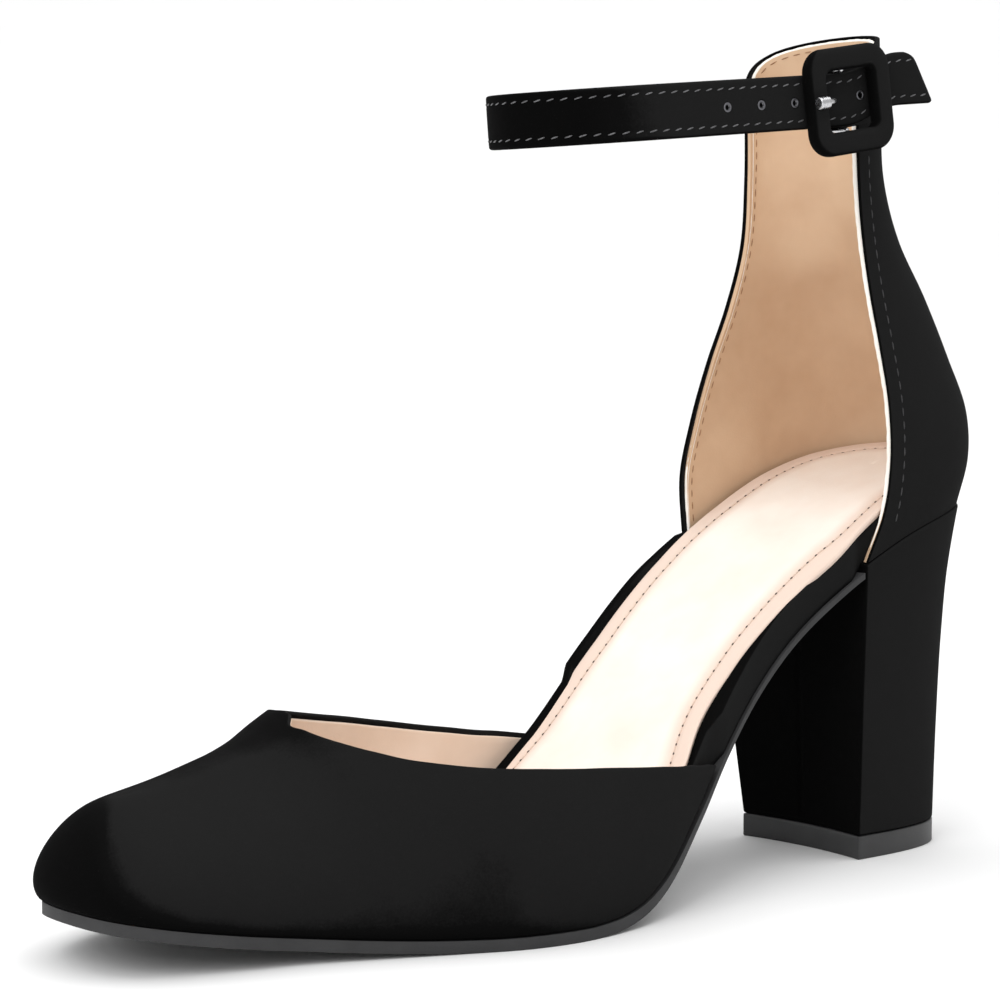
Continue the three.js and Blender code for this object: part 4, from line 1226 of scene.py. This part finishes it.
STRAP_LINE = strap_line(1200)
STRAP_RUN = run_along(STRAP_LINE)
STRAP_TANGENT = unit(np.gradient(STRAP_LINE, axis=0))
AT_BUCKLE = STRAP_RUN[-1] - (STRAP_TAIL + PAST_TAIL) * math.hypot(1, STRAP_DRIFT)


def on_strap(run, up, out):
    """A point on the strap, in its plane: run along it, up its width, and out from its middle."""
    point = at_run(run, STRAP_RUN, STRAP_LINE)
    along = at_run(run, STRAP_RUN, STRAP_TANGENT)
    lift = np.where(point[..., 1] < 0, strap_lift(point[..., 0]), 0)
    outwards = np.stack((along[..., 1], -along[..., 0], np.zeros(np.shape(run))), -1)
    point = point + outwards * np.asarray(out, float)[..., None]
    point[..., 2] += lift + up
    return point


def tail_end(up):
    """Where the tail ends at a height across the strap: a slant with rounded corners."""
    half, top_corner, low_corner = STRAP_WIDTH / 2, 2.2, 0.9
    lean = -TAIL_SLANT * (up + half)
    top_round = top_corner * np.maximum(0, (up - half + top_corner) / top_corner) ** 2.6
    low_round = low_corner * np.maximum(0, (-up - half + low_corner) / low_corner) ** 2.2
    return AT_BUCKLE + STRAP_TAIL + lean - top_round - low_round


STITCH_AT = STRAP_WIDTH / 2 - 1.9


def strap_section():
    """The strap's section: (up, out) pairs round a band with soft edges."""
    half, thick, corner, fall = STRAP_WIDTH / 2, STRAP_THICKNESS / 2, 0.5, 0.1
    flat = np.concatenate(([-1, -0.93], np.linspace(-0.84, 0.84, 13), [0.93, 1])) * (half - corner)
    pairs = []
    for u in flat:
        dent = 0.07 * np.exp(-((abs(u) - STITCH_AT) / 0.35) ** 2)
        pairs.append((u, thick - fall * (abs(u) / half) ** 6 - dent))
    for side, angles in ((1, np.linspace(90, -90, 7)), (-1, np.linspace(-90, 90, 7))):
        for a in np.radians(angles[1:-1]):
            across = side * (half - corner + corner * math.cos(a))
            pairs.append((across, (thick - fall) * math.sin(a)))
        if side == 1:
            pairs += [(u, -thick + fall * (abs(u) / half) ** 6) for u in flat[::-1]]
    return np.array(pairs)


EYELET_INSIDE = 0.6
EYELET_OUTSIDE = 1.05
HOLE_RADIUS = EYELET_INSIDE + 0.25


def hole_spots():
    """Distances of the holes along the strap from the middle of the buckle."""
    return [PRONG_HOLE_AT + HOLE_PITCH * (1 - i) for i in range(HOLE_COUNT)]


def revolved(name, profile, sides, spot):
    """A turned piece in the strap at a spot: the profile holds (radius, height out of the strap)."""
    angle = np.linspace(0, 2 * np.pi, sides, endpoint=False)
    radius = np.array([r for r, _ in profile])[:, None]
    height = np.array([h for _, h in profile])[:, None]
    local = stack3(radius * np.cos(angle), -height, radius * np.sin(angle))
    drift = turned(local, -DRIFT_ANGLE, "z")
    along = spot * math.cos(DRIFT_ANGLE)
    across = BUCKLE_Y - spot * math.sin(DRIFT_ANGLE)
    points = from_strap(drift + (along, across, float(strap_lift(along))))
    return mesh_piece(name, points, grid_faces(len(profile), sides, closed=True))


def make_strap():
    """The ankle strap, with punched holes, edge stitching and a slanted tail."""
    section = strap_section()
    share = np.linspace(0, 1, 560)[:, None]
    run = share * tail_end(section[:, 0])[None, :]
    up = np.broadcast_to(section[:, 0], run.shape)
    out = np.broadcast_to(section[:, 1], run.shape)
    thin = 1 - 0.35 * smoothstep(share, 0.996, 1.0)
    strap = tube_piece("ankle_strap_suede", from_strap(on_strap(run, up, out * thin)))
    deep = 3.0
    for spot in hole_spots():
        cutter = revolved(
            "hole_cutter", [(0, -deep), (HOLE_RADIUS, -deep), (HOLE_RADIUS, deep), (0, deep)], 32, spot)
        tidy_mesh(cutter)
        add_modifier(strap, "BOOLEAN", object=cutter, operation="DIFFERENCE", solver="EXACT")
        apply_modifiers(strap)
        bpy.data.objects.remove(cutter)
    dress(strap, BLACK_SUEDE, ["ankle_strap"])
    face, count = STRAP_THICKNESS / 2, 700
    for side, up_at in (("lower", -STITCH_AT), ("upper", STITCH_AT)):
        steps = np.linspace(8.0, tail_end(np.array(up_at)) - 2.2, count)
        level_up = np.full(count, up_at)
        path, ahead = (
            from_strap(on_strap(steps, level_up, np.full(count, face + over))) for over in (-0.02, 1.0))
        stitch_row(
            f"strap_stitches_{side}", path, ahead - path, GREY_THREAD,
            pitch=3.0, length=1.75, width=0.32, slant=0.24)


def make_eyelets():
    """Rolled eyelets of nickel plate, one in each hole."""
    face, sunk = STRAP_THICKNESS / 2, 0.5
    middle = (EYELET_INSIDE + EYELET_OUTSIDE) / 2
    reach = (EYELET_OUTSIDE - EYELET_INSIDE) / 2
    profile = [(middle + reach * math.cos(a), face + 0.02 + 0.16 * math.sin(a))
               for a in np.radians(np.linspace(-60, 240, 14))]
    profile += [(EYELET_INSIDE + 0.05, face - sunk), (EYELET_INSIDE + 0.2, face - sunk)]
    profile.append(profile[0])
    for i, spot in enumerate(hole_spots()):
        eyelet = revolved(f"eyelet_ring_{i + 1}", profile, 40, spot)
        tidy_mesh(eyelet)
        dress(eyelet, DARK_NICKEL, [f"eyelet_{i + 1}"])


def rounded_square(length, height, radius, count):
    """Points round a rectangle with round corners, even in angle and starting on the right."""
    w, h = length / 2 - radius, height / 2 - radius
    quarter = np.linspace(0, np.pi / 2, count // 4, endpoint=False)
    points = []
    for index, (sx, sy) in enumerate(((1, 1), (-1, 1), (-1, -1), (1, -1))):
        centre = np.array([sx * w, sy * h])
        angle = quarter + index * np.pi / 2
        points.append(centre + radius * np.stack((np.cos(angle), np.sin(angle)), -1))
    return np.concatenate(points)


def make_buckle_frame():
    """The covered frame: a rounded square ring, padded under its suede."""
    outer = rounded_square(FRAME_LENGTH, FRAME_HEIGHT, 5.2, 160)
    inner = rounded_square(FRAME_LENGTH - 2 * FRAME_RIM, OPENING_HEIGHT, 1.6, 160)
    front = STRAP_THICKNESS / 2 + GAP * 0.4
    half = FRAME_THICKNESS / 2
    layers = []
    for angle in np.linspace(0, 2 * np.pi, 36, endpoint=False):
        c, s = math.cos(angle), math.sin(angle)
        across = 0.5 + 0.5 * math.copysign(abs(c) ** 0.55, c)
        depth = -(front + half) - half * math.copysign(abs(s) ** 0.6, s)
        plan = lerp(inner, outer, across)
        layers.append(stack3(plan[:, 0], depth, plan[:, 1]))
    piece = ring_body("buckle_frame_suede", from_buckle(np.array(layers + layers[:1])))
    dress(piece, BLACK_SUEDE, ["buckle_frame"])


def rod(name, points, radius, steps, sides=16):
    """A round rod along a smooth curve in the buckle's place, with domed ends."""
    line = smooth_curve(points, steps)
    along = unit(np.gradient(line, axis=0))
    start = np.cross(along[0], (0.3, 0.2, 1.0))
    normals = []
    for tangent in along:
        start = unit(start - tangent * np.dot(start, tangent))
        normals.append(start)
    normals = np.array(normals)
    sideways = np.cross(along, normals)
    taper = np.ones(steps)
    for k, share in enumerate((0.35, 0.75)):
        taper[k] = share
        taper[-1 - k] = share
    angle = np.linspace(0, 2 * np.pi, sides, endpoint=False)[None, :, None]
    ring = normals[:, None] * np.cos(angle) + sideways[:, None] * np.sin(angle)
    return tube_piece(name, from_buckle(line[:, None] + ring * (radius * taper)[:, None, None]))


BAR_DEPTH = STRAP_THICKNESS / 2 + GAP + TAB_THICKNESS + GAP + BAR_RADIUS
FRAME_BACK = -(STRAP_THICKNESS / 2 + GAP)
WIRE_RADIUS = 0.6
LEG_AT = STRAP_WIDTH / 2 + 0.15 + WIRE_RADIUS


def make_bar_and_prong():
    """The wire bar behind the frame, and the prong with its broad, bright tip."""
    end, corner, bend = FRAME_BACK - 0.6, 0.35, 1.3
    leg = [(end, LEG_AT), (lerp(end, BAR_DEPTH, 0.55), LEG_AT), (BAR_DEPTH - corner, LEG_AT - corner),
           (BAR_DEPTH, LEG_AT - bend)]
    points = [(0, y, z) for y, z in leg] + [(0, BAR_DEPTH, 0)] + [(0, y, -z) for y, z in leg[::-1]]
    dress(rod("buckle_wire_bar", points, WIRE_RADIUS, 90), NICKEL, ["buckle_bar"])
    hook = BAR_RADIUS + GAP + PRONG_RADIUS
    rest = FRAME_BACK - FRAME_THICKNESS - GAP * 0.4 - PRONG_TIP_RADIUS * 0.85
    spot = PRONG_HOLE_AT
    points = [
        (hook * 0.5, BAR_DEPTH + hook * 0.87), (-hook * 0.55, BAR_DEPTH + hook * 0.84),
        (-hook, BAR_DEPTH), (-hook - 0.5, BAR_DEPTH - 1.4), (spot + 0.2, 1.3), (spot, 0), (spot, -1.6),
        (spot - 0.5, -3.4), (spot - 1.9, -4.9), (spot - 3.3, rest + 0.1), (spot - 4.4, rest),
    ]
    prong = rod("buckle_prong_stem", [(x, y, PRONG_RAISE) for x, y in points], PRONG_RADIUS, 90)
    dress(prong, NICKEL, ["buckle_prong"])
    dress(prong_tip(spot - 6.8, spot - 4.0, rest), NICKEL)


def prong_tip(start, end, rest):
    """The prong's tip: a short ribbed barrel with a flat, chamfered front end."""
    radius = PRONG_TIP_RADIUS + 0.2
    profile = [(0.0, start), (radius * 0.78, start), (radius * 0.96, start + 0.1), (radius, start + 0.35)]
    for rib in np.linspace(start + 0.9, end - 0.4, 4):
        profile += [(radius, rib - 0.2), (radius * 0.9, rib), (radius, rib + 0.2)]
    profile += [(radius * 0.95, end - 0.1), (radius * 0.85, end), (0.0, end)]
    angle = np.linspace(0, 2 * np.pi, 40, endpoint=False)
    layers = [
        stack3(x, rest + r * np.sin(angle), PRONG_RAISE + r * np.cos(angle)) for r, x in profile]
    return ring_body("buckle_prong_tip", from_buckle(np.array(layers)))


def make_tab():
    """The buckle's tab: a strip sewn on the quarter and folded round the bar, as wide as the
    frame's opening, so that no light shows beside the strap."""
    def into_buckle(point):
        moved = np.asarray(point, float) - (0, BUCKLE_Y, FRAME_RAISE)
        return turned(turned(moved, DRIFT_ANGLE, "z"), FRAME_TILT, "y")

    reach = BAR_RADIUS + GAP + TAB_THICKNESS / 2
    over = [into_buckle(quarter_slice_point(turn, 2.5 * GAP + 0.75 * TAB_THICKNESS + 0.1))
            for turn in (-0.64, -0.76, -0.88, -0.98)]
    arc = [(reach * math.cos(a), BAR_DEPTH + reach * math.sin(a), 0)
           for a in np.radians(np.linspace(62, 290, 9))]
    line = smooth_curve([*over, *arc], 120)
    half = (OPENING_HEIGHT - GAP) / 2
    across = np.linspace(-half, half, 14)
    grid = np.repeat(line[:, None, :], len(across), 1)
    grid[..., 2] = across
    piece = mesh_piece("buckle_tab_suede", from_buckle(grid), grid_faces(*grid.shape[:2]))
    tidy_mesh(piece, outwards=False)
    add_modifier(piece, "SOLIDIFY", thickness=TAB_THICKNESS * MM, offset=0)
    soften(piece, 0.3)
    dress(piece, BLACK_SUEDE, ["buckle_tab"])


def stitch_tree():
    """A node tree that lays stitches along a path: pitch, length, width, slant and material."""
    tree = bpy.data.node_groups.new("stitch_row", "GeometryNodeTree")
    sockets = tree.interface
    sockets.new_socket("Path", in_out="INPUT", socket_type="NodeSocketGeometry")
    for name in ("Pitch", "Stitch Length", "Thread Width", "Slant"):
        sockets.new_socket(name, in_out="INPUT", socket_type="NodeSocketFloat")
    sockets.new_socket("Thread", in_out="INPUT", socket_type="NodeSocketMaterial")
    sockets.new_socket("Stitches", in_out="OUTPUT", socket_type="NodeSocketGeometry")
    given = tree.nodes.new("NodeGroupInput").outputs
    curve = add_node(tree, "GeometryNodeMeshToCurve", {"Mesh": given["Path"]})
    even = add_node(
        tree, "GeometryNodeResampleCurve",
        {"Curve": curve.outputs["Curve"], "Length": given["Pitch"]}, mode="LENGTH")
    bead = add_node(tree, "GeometryNodeMeshUVSphere", {"Segments": 10, "Rings": 6, "Radius": 0.5})
    size = add_node(
        tree, "ShaderNodeCombineXYZ",
        {"X": given["Stitch Length"], "Y": given["Thread Width"], "Z": given["Thread Width"]})
    shaped = add_node(
        tree, "GeometryNodeTransform", {"Geometry": bead.outputs["Mesh"], "Scale": size.outputs[0]})
    turn = add_node(tree, "ShaderNodeCombineXYZ", {"Z": given["Slant"]})
    slanted = add_node(
        tree, "GeometryNodeTransform", {"Geometry": shaped.outputs[0], "Rotation": turn.outputs[0]})
    tangent = add_node(tree, "GeometryNodeInputTangent")
    outward = add_node(
        tree, "GeometryNodeInputNamedAttribute", {"Name": "outward"}, data_type="FLOAT_VECTOR")
    first = add_node(
        tree, "FunctionNodeAlignRotationToVector", {"Vector": tangent.outputs[0]}, axis="X")
    second = add_node(
        tree, "FunctionNodeAlignRotationToVector",
        {"Rotation": first.outputs[0], "Vector": outward.outputs[0]}, axis="Z", pivot_axis="X")
    placed = add_node(
        tree, "GeometryNodeInstanceOnPoints",
        {"Points": even.outputs["Curve"], "Instance": slanted.outputs[0], "Rotation": second.outputs[0]})
    real = add_node(tree, "GeometryNodeRealizeInstances", {"Geometry": placed.outputs[0]})
    painted = add_node(
        tree, "GeometryNodeSetMaterial", {"Geometry": real.outputs[0], "Material": given["Thread"]})
    add_node(tree, "NodeGroupOutput", {"Stitches": painted.outputs[0]})
    return tree


STITCH_TREE = stitch_tree()


def stitch_row(name, path, outward, material, pitch, length, width, slant=0.0, closed=False):
    """A row of stitches along a path in the shoe's own millimetres."""
    count = len(path)
    mesh = bpy.data.meshes.new(name)
    edges = [(i, i + 1) for i in range(count - 1)]
    if closed:
        edges.append((count - 1, 0))
    mesh.from_pydata(((np.asarray(path) + SHIFT) * MM).tolist(), edges, [])
    stored = mesh.attributes.new("outward", "FLOAT_VECTOR", "POINT")
    stored.data.foreach_set("vector", np.broadcast_to(outward, (count, 3)).astype(np.float32).ravel())
    piece = bpy.data.objects.new(name, mesh)
    bpy.context.collection.objects.link(piece)
    modifier = piece.modifiers.new("stitches", "NODES")
    modifier.node_group = STITCH_TREE
    values = {
        "Pitch": pitch * MM, "Stitch Length": length * MM, "Thread Width": width * MM,
        "Slant": slant, "Thread": material,
    }
    for item in STITCH_TREE.interface.items_tree:
        if item.name in values:
            modifier[item.identifier] = values[item.name]
    apply_modifiers(piece)
    dress(piece, material)


make_footbed()
make_sock()
make_outsole()
make_vamp()
make_quarter()
make_heel()
make_strap()
make_eyelets()
make_buckle_frame()
make_bar_and_prong()
make_tab()
make_quarter_edge()


# The photograph's view in millimetres, and the studio's lights: place, target, side and power.
CAMERA_AT = (-390.0, -463.55, 131.16)
LOOK_AT = (0.13, 17.31, 84.1)
SENSOR = 36.0
FOCAL_SHARE = 2.835
OVERHEAD_LIGHT = ((0.2, 0.3, 3.4), (0.2, 0.3, 0.0), 5.0, 100.0)
FRONT_LIGHT = ((-1.3, -0.5, 1.0), (0, 0, 0.08), 0.9, 10.0)
SURROUND_STRENGTH = 0.7


def make_floor():
    """A pale studio sweep: a floor that curves up far behind the shoe."""
    view = np.subtract(LOOK_AT, CAMERA_AT) * (1, 1, 0)
    away = unit(view)
    across = np.cross((0, 0, 1), away)
    start, bend_at, radius, half_width, top = -2500.0, 2600.0, 1400.0, 5000.0, 5000.0
    bend = [(bend_at + radius * math.sin(a), radius * (1 - math.cos(a)))
            for a in np.linspace(0, np.pi / 2, 24)]
    profile = [(start, 0.0), *bend, (bend_at + radius, top)]
    points = [away * out + across * side + (0, 0, up)
              for out, up in profile for side in (half_width, -half_width)]
    mesh = bpy.data.meshes.new("sweep")
    mesh.from_pydata((np.array(points) * MM).tolist(), [], grid_faces(len(profile), 2))
    mesh.shade_smooth()
    floor = bpy.data.objects.new("sweep", mesh)
    bpy.context.collection.objects.link(floor)
    material, tree, shader = new_material("pale_sweep")
    cloud = noise(tree, object_coordinates(tree), 400.0, detail=2.0, seed=9.0)
    tree.links.new(ramp(tree, cloud, [(0.3, "#f3f3f3"), (0.7, "#f6f6f6")]), shader.inputs["Base Color"])
    set_values(shader, roughness=0.85, specular_ior_level=0.2)
    floor.data.materials.append(material)


def area_light(name, place, target, size, power):
    """A square light at a place in metres, turned to a target."""
    light = bpy.data.lights.new(name, "AREA")
    light.shape = "RECTANGLE"
    light.size = light.size_y = size
    light.energy = power
    lamp = bpy.data.objects.new(name, light)
    bpy.context.collection.objects.link(lamp)
    lamp.location = place
    lamp.rotation_euler = (Vector(target) - Vector(place)).to_track_quat("-Z", "Y").to_euler()


def make_studio():
    """Soft light from above and in front, on a near white surround."""
    world = bpy.data.worlds.new("studio")
    bpy.context.scene.world = world
    world.use_nodes = True
    surround = world.node_tree.nodes["Background"]
    surround.inputs["Color"].default_value = linear("#ffffff")
    surround.inputs["Strength"].default_value = SURROUND_STRENGTH
    area_light("overhead_softbox", *OVERHEAD_LIGHT)
    area_light("front_softbox", *FRONT_LIGHT)


def make_camera():
    """The photograph's view: from the toe and the outer side, a little above the sole."""
    camera = bpy.data.cameras.new("camera")
    camera.sensor_width = SENSOR
    camera.lens = SENSOR * FOCAL_SHARE
    camera.clip_start = 0.01
    stand = bpy.data.objects.new("camera", camera)
    bpy.context.collection.objects.link(stand)
    at, target = Vector(CAMERA_AT) * MM, Vector(LOOK_AT) * MM
    stand.location = at
    stand.rotation_euler = (target - at).to_track_quat("-Z", "Y").to_euler()
    bpy.context.scene.camera = stand


make_floor()
make_studio()
make_camera()
bpy.context.scene.view_settings.view_transform = "Standard"
